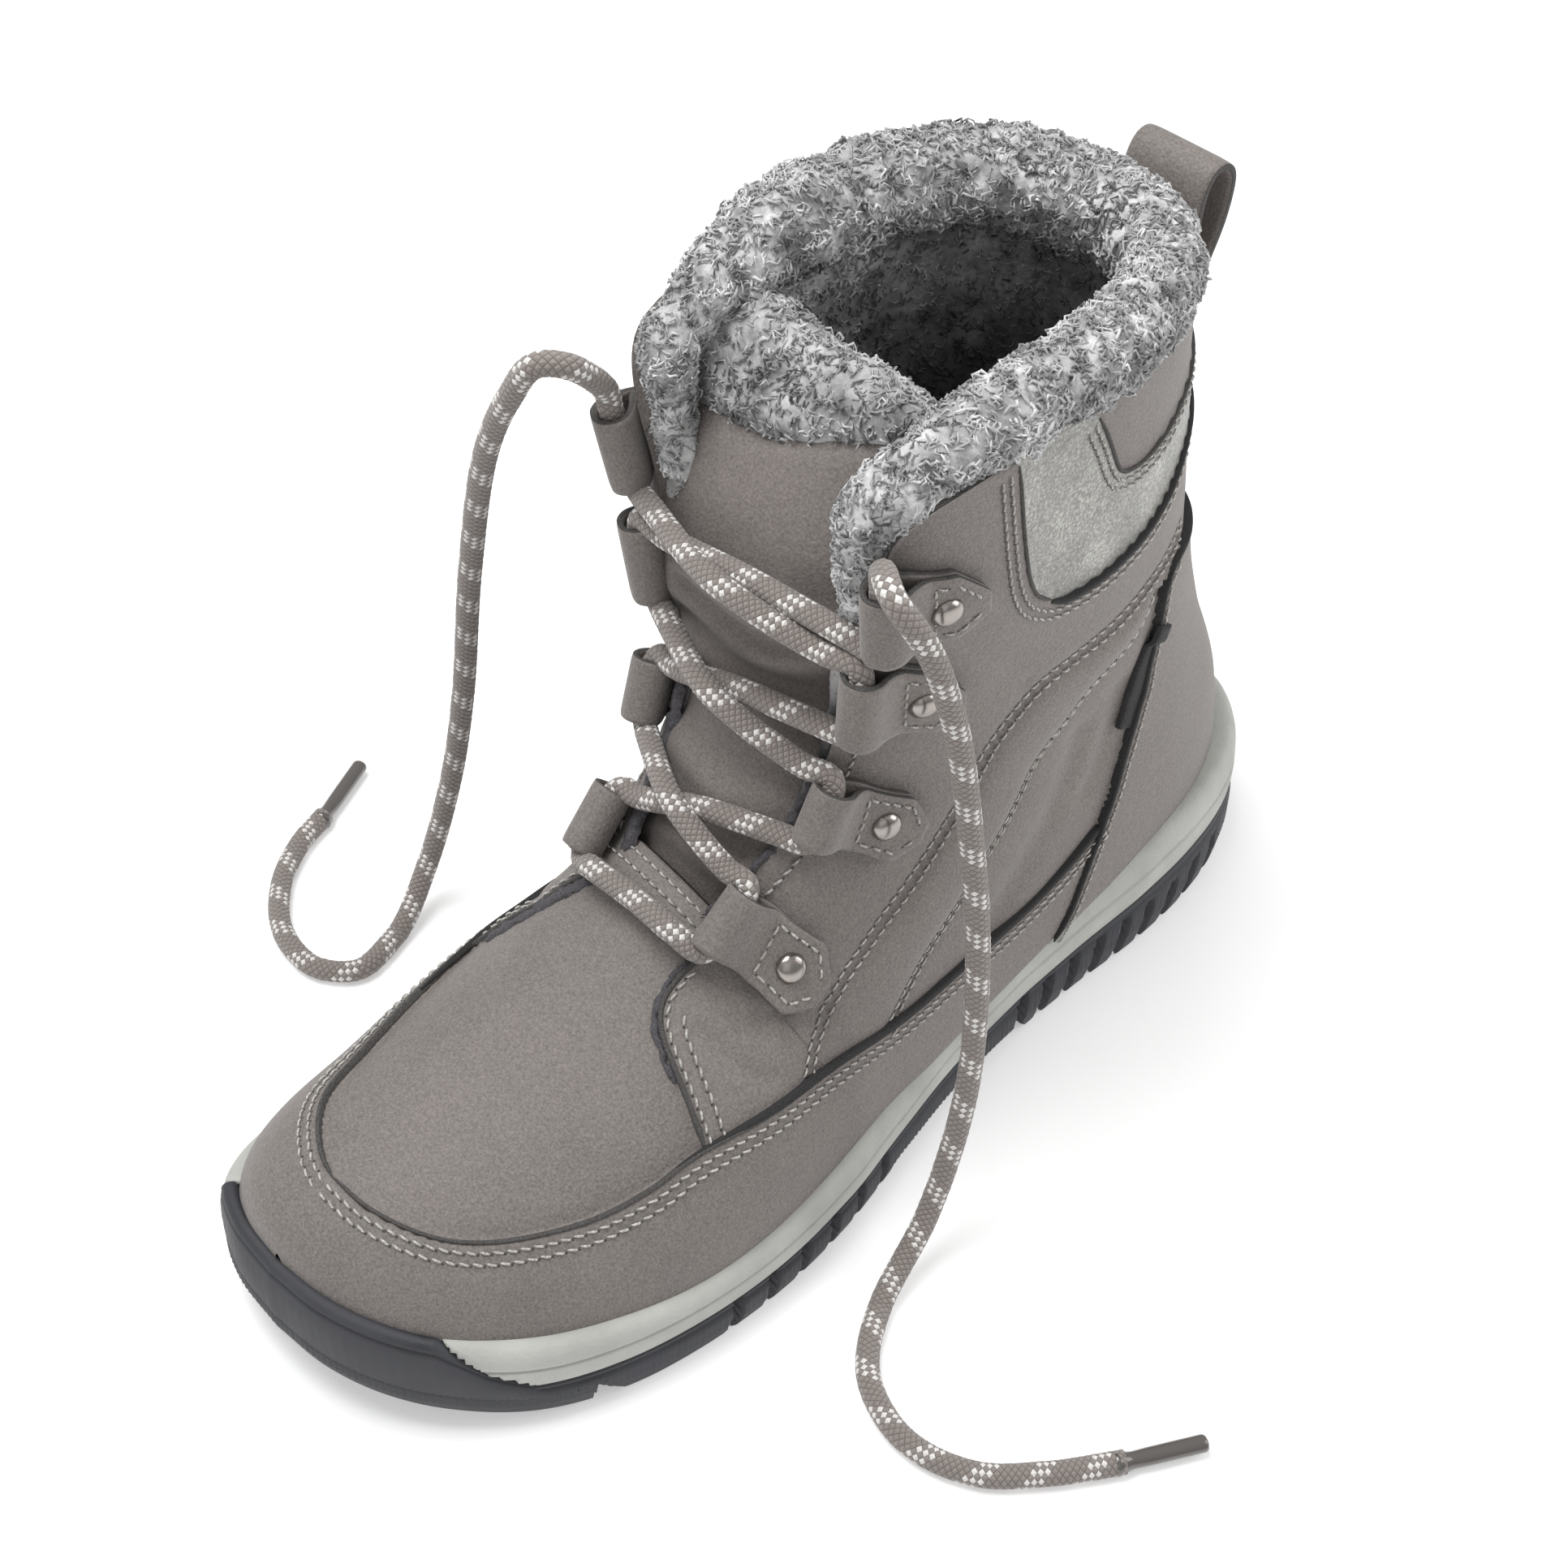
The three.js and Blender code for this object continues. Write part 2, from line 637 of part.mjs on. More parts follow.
function laceBar() {
  const [a] = ends.lateral[0];
  const [b] = ends.medial[0];
  const middle = upperPoint(8.35, 0.0001).addScaledVector(upperNormal(8.35, 0.001), laceRadius + 1);
  return laceRun(a, away("lateral", 0, "low"), b, away("medial", 0, "low"), middle);
}

function laceCross(loop) {
  const row = (loopRows[loop].highRow + loopRows[loop + 1].lowRow) / 2;
  const run = (one, other) => {
    const a = ends[one][loop][1];
    const b = ends[other][loop + 1][0];
    return laceRun(a, away(one, loop, "high"), b, away(other, loop + 1, "low"), bridge(a, b, row, laceRadius));
  };
  return run("lateral", "medial").add(run("medial", "lateral"));
}

function freeEnd(side, points) {
  const [low, high] = ends[side][3];
  const axis = high.clone().sub(low).normalize();
  const out = [1, 5].map((d) => high.clone().addScaledVector(axis, d).toArray());
  return tube([...out, ...points], laceRadius, 8, 38);
}

function aglet(points, tip) {
  const from = new THREE.Vector3(...points[points.length - 1]);
  const axis = new THREE.Vector3(...tip).sub(from).normalize();
  const start = from.addScaledVector(axis, gap);
  return tube([start.toArray(), tip], 1.9, 8, 1);
}

// ---- materials and the assembly ----
const leather = { color: 0x6f6861, roughness: 0.75, metalness: 0 };
const pile = { color: 0x85868a, roughness: 0.95, metalness: 0 };
const foam = { color: 0xb4b6b0, roughness: 0.7, metalness: 0 };
const rubber = { color: 0x2b2c30, roughness: 0.8, metalness: 0 };
const cord = { color: 0x8b827b, roughness: 0.85, metalness: 0 };
const plastic = { color: 0x55504c, roughness: 0.35, metalness: 0 };
const metal = { color: 0x8f8a86, roughness: 0.3, metalness: 1 };

const boot = new THREE.Group();

function place(name, solid, finish) {
  const mesh = new THREE.Mesh(geometryOf(solid), new THREE.MeshStandardMaterial(finish));
  mesh.name = name;
  boot.add(mesh);
}

place("outsole", outsole(), rubber);
place("midsole", midsole(), foam);
place("insole", insole(), pile);
place("upper", upperShell(0), leather);
place("tongue", tongue(), leather);
place("pull_loop", pullLoop(), leather);
for (const [side, sign] of Object.entries(sideSign)) {
  loopRows.forEach((row, i) => {
    place(`lace_loop_${side}_${i + 1}`, laceLoop(row, sign), leather);
    place(`rivet_${side}_${i + 1}`, rivet(row, sign), metal);
  });
}
place("lace_bar", laceBar(), cord);
for (const loop of [0, 1, 2]) place(`lace_cross_${loop + 1}`, laceCross(loop), cord);
place("lace_end_lateral", freeEnd("lateral", lateralEnd), cord);
place("lace_end_medial", freeEnd("medial", medialEnd), cord);
place("aglet_lateral", aglet(lateralEnd, agletTips.lateral), plastic);
place("aglet_medial", aglet(medialEnd, agletTips.medial), plastic);

export default boot;
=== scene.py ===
import math

import bpy
import numpy as np
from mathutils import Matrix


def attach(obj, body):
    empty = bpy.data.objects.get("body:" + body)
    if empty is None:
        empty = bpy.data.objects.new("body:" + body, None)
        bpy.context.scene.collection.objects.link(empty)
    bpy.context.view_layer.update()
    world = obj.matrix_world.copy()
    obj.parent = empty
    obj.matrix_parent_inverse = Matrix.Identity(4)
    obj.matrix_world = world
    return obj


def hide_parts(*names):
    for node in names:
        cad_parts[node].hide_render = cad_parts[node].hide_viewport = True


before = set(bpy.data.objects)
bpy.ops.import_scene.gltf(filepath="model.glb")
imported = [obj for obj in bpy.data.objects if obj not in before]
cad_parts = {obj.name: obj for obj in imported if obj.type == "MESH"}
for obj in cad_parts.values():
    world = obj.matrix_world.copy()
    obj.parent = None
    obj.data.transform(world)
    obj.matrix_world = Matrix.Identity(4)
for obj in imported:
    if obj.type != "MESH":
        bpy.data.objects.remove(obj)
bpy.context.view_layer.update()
mm = 0.001  # every size below is in millimetres and turns into metres when a mesh is made
print("frame loaded:", len(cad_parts), "nodes")

# camera, light and floor
camera = {"azimuth": 44.16, "elevation": 44.37, "roll": 2.07, "distance": 588.6, "lens": 60.65,
          "target": (-18.07, 10.92, 60.0)}
lights = {  # place, size, watts; each one is a square softbox aimed at the boot
    "keyBox": ((-240, -200, 1050), 560, 9.2),
    "fillBox": ((640, -620, 620), 800, 0.7),
    "backBox": ((560, 640, 560), 600, 3.4),
}
# world: strength, the bright side's direction, and how bright the dark and the bright sides are;
# floor: half width in metres, grey and glow
studio = {"world": 0.45, "brightSide": (-0.2, 0.0, 0.98), "spread": (-0.5, 1.0), "range": (0.4, 1.45),
          "floorHalf": 12, "floorGrey": 0.74, "floorGlow": 0.36}


def aimed(place, target, roll=0.0):
    # right, up, back and place, one after another; right stays level, then all is rolled about back
    back = np.subtract(place, target).astype(float)
    back /= np.linalg.norm(back)
    right = np.cross((0.0, 0.0, 1.0), back)
    right /= np.linalg.norm(right)
    up = np.cross(back, right)
    c, s = math.cos(math.radians(roll)), math.sin(math.radians(roll))
    matrix = np.eye(4)
    matrix[0, :3] = c * right + s * up
    matrix[1, :3] = c * up - s * right
    matrix[2, :3] = back
    matrix[3, :3] = np.multiply(place, mm)
    return matrix.tolist()


def makeCamera():
    azimuth = math.radians(camera["azimuth"])
    elevation = math.radians(camera["elevation"])
    back = np.array([math.sin(azimuth) * math.cos(elevation), -math.cos(azimuth) * math.cos(elevation),
                     math.sin(elevation)])
    data = bpy.data.cameras.new("studioCamera")
    data.sensor_width = 36.0
    data.lens = camera["lens"]
    data.clip_end = 30.0
    thing = bpy.data.objects.new("studioCamera", data)
    bpy.context.collection.objects.link(thing)
    place = np.add(camera["target"], back * camera["distance"])
    thing.matrix_world = aimed(place, camera["target"], camera["roll"])
    bpy.context.scene.camera = thing


def makeLights():
    for name, (place, size, watts) in lights.items():
        data = bpy.data.lights.new(name, "AREA")
        data.shape = "SQUARE"
        data.size = size * mm
        data.energy = watts
        thing = bpy.data.objects.new(name, data)
        bpy.context.collection.objects.link(thing)
        thing.matrix_world = aimed(place, (0, 0, 60))
    world = bpy.data.worlds.new("studioWorld")
    world.use_nodes = True
    tree = world.node_tree
    back = tree.nodes["Background"]
    back.inputs["Strength"].default_value = studio["world"]
    # brightness by direction: the dot product with the bright side's direction, through a ramp
    dot = tree.nodes.new("ShaderNodeVectorMath")
    dot.operation = "DOT_PRODUCT"
    dot.inputs[1].default_value = studio["brightSide"]
    tree.links.new(tree.nodes.new("ShaderNodeTexCoord").outputs["Generated"], dot.inputs[0])
    ramp = tree.nodes.new("ShaderNodeMapRange")
    for way, key in (("From", "spread"), ("To", "range")):
        for end, value in zip(("Min", "Max"), studio[key]):
            ramp.inputs[way + " " + end].default_value = value
    tree.links.new(dot.outputs["Value"], ramp.inputs["Value"])
    tree.links.new(ramp.outputs["Result"], back.inputs["Color"])
    bpy.context.scene.world = world


makeCamera()
makeLights()
bpy.context.scene.view_settings.view_transform = "Standard"
print("camera and lights placed")


# materials: a short name for a socket, with _ for a space, sets its value
def newMaterial(name, color, roughness, **sockets):
    material = bpy.data.materials.new(name)
    material.use_nodes = True
    shader = material.node_tree.nodes["Principled BSDF"]
    shader.inputs["Base Color"].default_value = (*color, 1)
    shader.inputs["Roughness"].default_value = roughness
    for socket, value in sockets.items():
        shader.inputs[socket.replace("_", " ")].default_value = value
    return material


class Nodes:
    # short hand for building one material's nodes; every method returns an output socket
    def __init__(self, material):
        self.tree = material.node_tree
        self.shader = self.tree.nodes["Principled BSDF"]

    def add(self, kind, **settings):
        node = self.tree.nodes.new(kind)
        for key, value in settings.items():
            setattr(node, key, value)
        return node

    def join(self, source, socket):
        if hasattr(source, "node"):
            self.tree.links.new(source, socket)
        else:
            socket.default_value = source

    def coordinates(self, kind="Object"):
        return self.add("ShaderNodeTexCoord").outputs[kind]

    def noise(self, where, scale, detail=3.0, rough=0.55):
        node = self.add("ShaderNodeTexNoise")
        self.join(where, node.inputs["Vector"])
        node.inputs["Scale"].default_value = scale
        node.inputs["Detail"].default_value = detail
        node.inputs["Roughness"].default_value = rough
        return node.outputs["Fac"]

    def cells(self, where, scale):
        node = self.add("ShaderNodeTexVoronoi", feature="F1")
        self.join(where, node.inputs["Vector"])
        node.inputs["Scale"].default_value = scale
        return node.outputs["Distance"]

    def ramp(self, factor, *stops):
        node = self.add("ShaderNodeValToRGB")
        self.join(factor, node.inputs["Fac"])
        elements = node.color_ramp.elements
        while len(elements) < len(stops):
            elements.new(0.5)
        for element, (place, color) in zip(elements, stops):
            element.position = place
            element.color = (*color, 1) if len(color) == 3 else color
        return node.outputs["Color"]

    def math(self, operation, first, second=0.0):
        node = self.add("ShaderNodeMath", operation=operation)
        self.join(first, node.inputs[0])
        self.join(second, node.inputs[1])
        return node.outputs[0]

    def mix(self, factor, first, second, blend="MIX"):
        node = self.add("ShaderNodeMix", data_type="RGBA", blend_type=blend)
        self.join(factor, node.inputs["Factor"])
        for value, socket in ((first, node.inputs[6]), (second, node.inputs[7])):
            self.join((*value, 1) if isinstance(value, tuple) else value, socket)
        return node.outputs[2]

    def bump(self, height, distance, strength=1.0):
        node = self.add("ShaderNodeBump")
        self.join(height, node.inputs["Height"])
        node.inputs["Distance"].default_value = distance * mm
        node.inputs["Strength"].default_value = strength
        self.tree.links.new(node.outputs["Normal"], self.shader.inputs["Normal"])

    def color(self, source):
        self.tree.links.new(source, self.shader.inputs["Base Color"])

    def rough(self, source):
        self.tree.links.new(source, self.shader.inputs["Roughness"])


def grey(value):
    return (value, value, value)


# scales count pattern steps in a metre; relief is the bump's depth in mm
leatherLook = {"dark": (0.128, 0.113, 0.105), "light": (0.232, 0.208, 0.192), "relief": 0.20,
               "roughness": 0.72, "fineScale": 1900, "grainScale": 900, "cloudScale": 42, "poreScale": 1500}
shimmerLook = {"dark": (0.178, 0.176, 0.163), "middle": (0.292, 0.288, 0.268), "light": (0.54, 0.535, 0.505),
               "metallic": 0.5, "speckScale": 1500, "cloudScale": 90}


def leatherMaterial(name="nubuckTaupe", dark=leatherLook["dark"], light=leatherLook["light"], panel=False):
    # brushed nap: fine noise of half a millimetre over broad clouds of 30 mm, and pores as bump.
    # With panel, the mesh's "shimmer" value (mm inside the pale panel's edge) changes it to the
    # metallic finish: pale grey with bright specks under a millimetre wide.
    material = newMaterial(name, light, leatherLook["roughness"], Sheen_Weight=0.2, Sheen_Roughness=0.4)
    n = Nodes(material)
    where = n.coordinates()
    fine = n.noise(where, leatherLook["fineScale"], 2.0)
    clouds = n.noise(where, leatherLook["cloudScale"], 3.0)
    grain = n.noise(where, leatherLook["grainScale"], 2.0)
    both = n.math("ADD", n.math("MULTIPLY", fine, 0.62), n.math("MULTIPLY", grain, 0.18))
    both = n.math("ADD", both, n.math("MULTIPLY", clouds, 0.20))
    nap = n.ramp(both, (0.36, dark), (0.64, light))
    sheen = n.ramp(clouds, (0.3, grey(0.62)), (0.7, grey(0.8)))
    if panel:
        inside = n.add("ShaderNodeAttribute", attribute_name="shimmer").outputs["Fac"]
        inside = n.ramp(n.math("ADD", n.math("MULTIPLY", inside, 2.0), 0.5), (0.45, grey(0)), (0.55, grey(1)))
        specks = n.noise(where, shimmerLook["speckScale"], 2.0)
        broad = n.noise(where, shimmerLook["cloudScale"], 3.0)
        tone = n.math("ADD", n.math("MULTIPLY", specks, 0.6), n.math("MULTIPLY", broad, 0.4))
        pale = n.ramp(tone, (0.32, shimmerLook["dark"]), (0.52, shimmerLook["middle"]),
                      (0.70, shimmerLook["light"]))
        n.color(n.mix(inside, nap, pale))
        n.rough(n.mix(inside, sheen, n.ramp(specks, (0.35, grey(0.6)), (0.7, grey(0.32)))))
        n.tree.links.new(n.math("MULTIPLY", inside, shimmerLook["metallic"]), n.shader.inputs["Metallic"])
    else:
        n.color(nap)
        n.rough(sheen)
    pores = n.cells(where, leatherLook["poreScale"])
    wrinkles = n.noise(where, leatherLook["grainScale"], 3.0)
    height = n.math("ADD", n.math("MULTIPLY", pores, 0.6), n.math("MULTIPLY", wrinkles, 0.7))
    n.bump(height, leatherLook["relief"], 0.7)
    return material


def edgeMaterial(name, color):
    # cut, bound or woven edge: short fuzz that goes from 0.6 to 1.9 times the colour
    material = newMaterial(name, color, 0.85)
    n = Nodes(material)
    where = n.coordinates()
    fuzz = n.noise(where, 2600, 2.0)
    n.color(n.ramp(fuzz, (0.3, tuple(0.6 * c for c in color)), (0.75, tuple(1.9 * c for c in color))))
    n.bump(fuzz, 0.15, 0.7)
    return material


def pileMaterial(name):
    # mottled curls: a shade (a random tone) held by each curl, broken by flecks a millimetre or two wide; the
    # "light" value then darkens the colour with painted shade
    material = newMaterial(name, (0.3, 0.3, 0.31), 0.9, Sheen_Weight=0.22, Sheen_Roughness=0.5)
    n = Nodes(material)
    where = n.coordinates()
    flecks = n.math("ADD", n.math("MULTIPLY", n.noise(where, 230, 2.0, 0.5), 0.62),
                    n.math("MULTIPLY", n.noise(where, 760, 2.0, 0.6), 0.38))
    shade = n.add("ShaderNodeAttribute", attribute_name="shade").outputs["Fac"]
    both = n.math("ADD", n.math("MULTIPLY", flecks, 0.66), n.math("MULTIPLY", shade, 0.34))
    tone = n.ramp(both, (0.30, grey(0.13)), (0.41, grey(0.28)), (0.53, grey(0.46)), (0.67, grey(0.74)))
    # painted shade: each point's "light" value multiplies the colour, from full at 1 down to a dark
    # grey-brown at 0
    light = n.add("ShaderNodeAttribute", attribute_name="light").outputs["Fac"]
    n.color(n.mix(1.0, tone, n.ramp(light, (0.0, (0.10, 0.085, 0.09)), (1.0, grey(1.0))), "MULTIPLY"))
    n.bump(n.noise(where, 1300, 3.0), 0.35, 0.7)
    return material


def threadMaterial():
    # twisted thread: flecks of half a millimetre
    material = newMaterial("threadGrey", (0.5, 0.48, 0.45), 0.6, Sheen_Weight=0.3)
    n = Nodes(material)
    twist = n.noise(n.coordinates(), 2200, 1.0)
    n.color(n.ramp(twist, (0.35, (0.30, 0.285, 0.262)), (0.7, (0.62, 0.60, 0.565))))
    n.bump(twist, 0.08, 0.6)
    return material


def foamMaterial():
    # moulded foam: faint clouds under a fine pebbled skin
    material = newMaterial("foamGrey", (0.43, 0.435, 0.41), 0.70)
    n = Nodes(material)
    where = n.coordinates()
    grains = n.noise(where, 950, 3.0)
    n.color(n.ramp(n.noise(where, 60, 3.0), (0.3, (0.37, 0.375, 0.35)), (0.7, (0.48, 0.485, 0.455))))
    n.bump(grains, 0.28, 0.8)
    return material


def rubberMaterial():
    # dull rubber with shinier clouds and a fine grain
    material = newMaterial("rubberCharcoal", (0.03, 0.031, 0.036), 0.62)
    n = Nodes(material)
    where = n.coordinates()
    clouds = n.noise(where, 70, 4.0)
    n.color(n.ramp(clouds, (0.3, (0.022, 0.023, 0.028)), (0.7, (0.047, 0.048, 0.056))))
    n.rough(n.ramp(clouds, (0.3, grey(0.5)), (0.7, grey(0.75))))
    n.bump(n.noise(where, 1700, 2.0), 0.12, 0.7)
    return material


laceLook = {"thick": 5.2, "strands": 8, "cellLength": 1.45, "paleStrands": 3, "taupe": (0.262, 0.228, 0.208),
            "fleck": (0.76, 0.735, 0.71)}


def laceMaterial():
    # a braid read from the cord's own map: x is turns round it, y is cells along it. The sums and
    # differences of the two number the strands that run each way; a few side by side one way are pale.
    material = newMaterial("laceBraid", laceLook["taupe"], 0.75, Sheen_Weight=0.3)
    n = Nodes(material)
    split = n.add("ShaderNodeSeparateXYZ")
    n.join(n.coordinates("UV"), split.inputs[0])
    around = n.math("MULTIPLY", split.outputs[0], float(laceLook["strands"]))
    along = split.outputs[1]
    plus = n.math("ADD", around, along)
    minus = n.math("SUBTRACT", around, along)
    plusStrand = n.math("FLOOR", plus)
    minusStrand = n.math("FLOOR", minus)
    over = n.math("FLOORED_MODULO", n.math("ADD", plusStrand, minusStrand), 2.0)  # which way lies on top
    pale = n.math("LESS_THAN", n.math("FLOORED_MODULO", plusStrand, float(laceLook["strands"])),
                  laceLook["paleStrands"] - 0.5)
    pale = n.math("MULTIPLY", n.math("SUBTRACT", 1.0, over), pale)
    # 0 at a cell's rim, half at its middle
    crown = n.math("MINIMUM", n.math("PINGPONG", plus, 0.5), n.math("PINGPONG", minus, 0.5))
    base = n.mix(pale, laceLook["taupe"], laceLook["fleck"])
    # painted shade: the colour darkens towards each braid cell's rim, to 0.42 of it, for the shade in the
    # creases between cells
    rim = n.ramp(crown, (0.0, grey(0.42)), (0.15, grey(1.0)))
    n.color(n.mix(1.0, base, rim, "MULTIPLY"))
    n.bump(crown, 0.9, 0.8)
    return material


materials = {
    "panels": leatherMaterial(panel=True),
    "leather": leatherMaterial("nubuckStrap"),
    # painted shade: the tongue's nubuck is a darker copy of the same leather, for the weaker light on the
    # tongue's face
    "tongue": leatherMaterial("nubuckTongueShaded", (0.118, 0.103, 0.096), (0.212, 0.188, 0.175)),
    "blackEdge": edgeMaterial("blackEdge", (0.018, 0.017, 0.017)),
    "cutEdge": edgeMaterial("cutEdge", (0.055, 0.052, 0.050)),
    "tag": edgeMaterial("wovenTag", (0.022, 0.021, 0.021)),
    "pile": pileMaterial("pileCollar"),
    "pileDeep": edgeMaterial("frayedPile", (0.058, 0.055, 0.060)),
    "thread": threadMaterial(),
    "foam": foamMaterial(),
    "rubber": rubberMaterial(),
    "lace": laceMaterial(),
    "metal": newMaterial("rivetMetal", (0.36, 0.33, 0.31), 0.24, Metallic=1.0),
    "sleeve": newMaterial("tipSleeve", (0.085, 0.075, 0.070), 0.25, Coat_Weight=1.0, Coat_Roughness=0.08),
}
floorMaterial = newMaterial("studioFloor", (studio["floorGrey"],) * 3, 0.9, Emission_Color=(1, 1, 1, 1),
                            Emission_Strength=studio["floorGlow"])
print("materials made:", len(materials))


# meshes from arrays
made = {"triangles": 0}


def makePiece(name, points, faces, finish, slot, uv=None, values=None, faceFinish=None):
    # points in millimetres, faces as one array of corner numbers (quads or triangles); uv has a
    # pair for each corner of each face and values is a named number for each point
    mesh = bpy.data.meshes.new(name)
    corners = faces.shape[1]
    used, faces = np.unique(faces, return_inverse=True)  # points that no face has are left out
    faces = faces.reshape(-1, corners).astype(np.int32)
    points = np.asarray(points)[used]
    mesh.vertices.add(len(points))
    mesh.vertices.foreach_set("co", (np.asarray(points, dtype=np.float64) * mm).astype(np.float32).ravel())
    mesh.loops.add(faces.size)
    mesh.loops.foreach_set("vertex_index", faces.ravel())
    mesh.polygons.add(len(faces))
    mesh.polygons.foreach_set("loop_start", np.arange(0, faces.size, corners, dtype=np.int32))
    mesh.update(calc_edges=True)
    mesh.polygons.foreach_set("use_smooth", np.ones(len(faces), dtype=bool))
    for key in finish if isinstance(finish, (list, tuple)) else [finish]:
        mesh.materials.append(materials[key])
    if faceFinish is not None:
        mesh.polygons.foreach_set("material_index", np.asarray(faceFinish, dtype=np.int32))
    if uv is not None:
        layer = mesh.uv_layers.new(name="map")
        layer.data.foreach_set("uv", np.asarray(uv, dtype=np.float32).ravel())
    for key, numbers in (values or {}).items():
        layer = mesh.attributes.new(key, "FLOAT", "POINT")
        layer.data.foreach_set("value", np.asarray(numbers, dtype=np.float32).ravel()[used])
    mesh.validate()
    made["triangles"] += len(mesh.loops) - 2 * len(mesh.polygons)
    thing = bpy.data.objects.new(name, mesh)
    bpy.context.collection.objects.link(thing)
    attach(thing, "root")
    print("made", name, len(mesh.polygons), "faces")
    return thing


def gridFaces(rows, columns, wrap=False):
    # quads between the points of a rows by columns grid; wrap joins the last column to the first
    last = columns if wrap else columns - 1
    r, c = np.meshgrid(np.arange(rows - 1), np.arange(last), indexing="ij")
    after = (c + 1) % columns
    here, above = r * columns, (r + 1) * columns
    return np.stack([here + c, here + after, above + after, above + c], -1).reshape(-1, 4)


def repeatedFaces(faces, points, count):
    # one shape's faces again for each of count copies that have that many points each
    return (faces[None] + points * np.arange(count)[:, None, None]).reshape(-1, 4)


def twoSkins(upper, lower):
    # two grids of points one over the other, joined round their rim; the last list is 0 for the
    # skins' faces and 1 for the rim's
    count = upper[..., 0].size
    index = np.arange(count).reshape(upper.shape[:2])
    rim = np.concatenate([index[0], index[1:, -1], index[-1, -2::-1], index[-2:0:-1, 0]])
    after = np.roll(rim, -1)
    grid = gridFaces(*index.shape)
    wall = np.stack([rim, after, after + count, rim + count], -1)
    faces = np.concatenate([grid[:, ::-1], grid + count, wall])
    edge = np.concatenate([np.zeros(2 * len(grid), int), np.ones(len(rim), int)])
    return np.concatenate([upper.reshape(-1, 3), lower.reshape(-1, 3)]), faces, edge


def fullTurn(count):
    return np.arange(count) * 2 * np.pi / count


def runLength(points):
    # distance travelled along a polyline, at each of its points
    return np.concatenate([[0], np.cumsum(np.linalg.norm(np.diff(points, axis=0), axis=1))])


def unit(vectors):
    return vectors / np.maximum(np.linalg.norm(vectors, axis=-1, keepdims=True), 1e-9)


def smoothStep(value):
    value = np.clip(value, 0.0, 1.0)
    return value * value * (3 - 2 * value)


def lattice(cells, seed):
    # a number from 0 to 1 for each whole-number cell, the same every run
    cells = cells.astype(np.int64)
    mixed = cells[..., 0] * 374761393 + cells[..., 1] * 668265263 + cells[..., 2] * 2147483647
    mixed = mixed + seed * 974634777
    mixed = (mixed ^ (mixed >> 13)) * 1274126177
    return ((mixed ^ (mixed >> 16)) & 0xFFFFFF) / float(0xFFFFFF)


def softNoise(points, size, seed=1):
    # values on a lattice of the given size, blended smoothly between its eight corners; -1 to 1
    scaled = np.asarray(points) / size
    base = np.floor(scaled)
    f = smoothStep(scaled - base)
    total = 0.0
    for corner in range(8):
        step = np.array([corner & 1, (corner >> 1) & 1, corner >> 2])
        weight = np.prod(np.where(step, f, 1 - f), axis=-1)
        total = total + weight * lattice(base + step, seed)
    return total * 2 - 1


def columnAt(table, column, row):
    # Catmull-Rom curve through one column of a table, at fractional rows
    values = table[:, column]
    last = len(values) - 1
    row = np.clip(np.asarray(row, float), 0, last)
    i = np.minimum(row.astype(int), last - 1)
    f = row - i
    b, c = values[i], values[i + 1]
    a = np.where(i > 0, values[np.maximum(i - 1, 0)], 2 * b - c)
    d = np.where(i < last - 1, values[np.minimum(i + 2, last)], 2 * c - b)
    return b + 0.5 * f * (c - a + f * (2 * a - 5 * b + 4 * c - d + f * (3 * (b - c) + d - a)))


def curveThrough(points, count):
    # Catmull-Rom curve through a short list of points, with count evenly numbered samples
    table = np.asarray(points, float)
    rows = np.linspace(0, len(table) - 1, count)
    return np.stack([columnAt(table, k, rows) for k in range(table.shape[1])], -1)


def evenly(points, spacing=None, count=None):
    # the same polyline with points an equal distance apart
    run = runLength(points)
    count = count or max(int(round(run[-1] / spacing)), 2) + 1
    at = np.linspace(0, run[-1], count)
    return np.stack([np.interp(at, run, points[:, k]) for k in range(points.shape[1])], -1)


# the upper's form: a row for each section from toe tip to pile edge. A section runs from a front
# point on the ridge to a back point (sole, then heel and calf); belly is the share of the way back
# where it is widest and the two round values are superellipse powers.
upperRows = np.array([
    # frontY, frontZ, backY, backZ, midX, lateral, medial, belly, frontRound, backRound
    [-136.8, 33, -136.8, 28, -10, 0.6, 0.6, 0.5, 2, 2],
    [-135.4, 38, -135.4, 16, -10, 13.5, 13, 0.6, 2.1, 2.4],
    [-131, 42, -131, 10, -9.8, 25, 23, 0.7, 2.2, 2.8],
    [-123.5, 46, -123.5, 7, -9, 34, 30.5, 0.75, 2.2, 3.2],
    [-112, 49.5, -112, 5, -8, 41, 36, 0.78, 2.1, 3.6],
    [-96, 53.5, -96, 4, -6.5, 46.5, 40, 0.78, 2, 4],
    [-78, 59, -78, 3, -5, 50, 42.5, 0.76, 2, 4],
    [-61, 66, -60, 2, -4, 50.5, 42.5, 0.74, 2, 4],
    [-49, 73, -38, 2, -3, 48, 40.5, 0.72, 2, 4],
    [-40, 82, 0, 2, -2.5, 42.5, 37.5, 0.7, 2.2, 3.6],
    [-33, 92, 45, 2, -2, 38.5, 35.5, 0.66, 2.5, 3.2],
    [-26.5, 101, 93, 4, -2, 36, 35, 0.62, 2.8, 3],
    [-22, 111, 126, 18, -2, 35, 35, 0.58, 3.2, 2.4],
    [-20, 122, 130, 46, -2, 35, 35, 0.54, 3.5, 2],
    [-19, 133, 117, 76, -2, 36, 36, 0.5, 3.8, 2],
    [-19, 145, 107, 102, -2, 38, 38, 0.48, 4, 2],
    [-20, 158, 100.5, 130, -2, 40, 40, 0.47, 4.2, 2],
    [-22.5, 172, 97, 158, -2, 41, 41, 0.46, 4.4, 2],
    [-25, 188, 94, 184, -2, 41.5, 41.5, 0.45, 4.6, 2],
    [-24, 195, 93, 191, -2, 40, 40, 0.45, 4.4, 2],
])
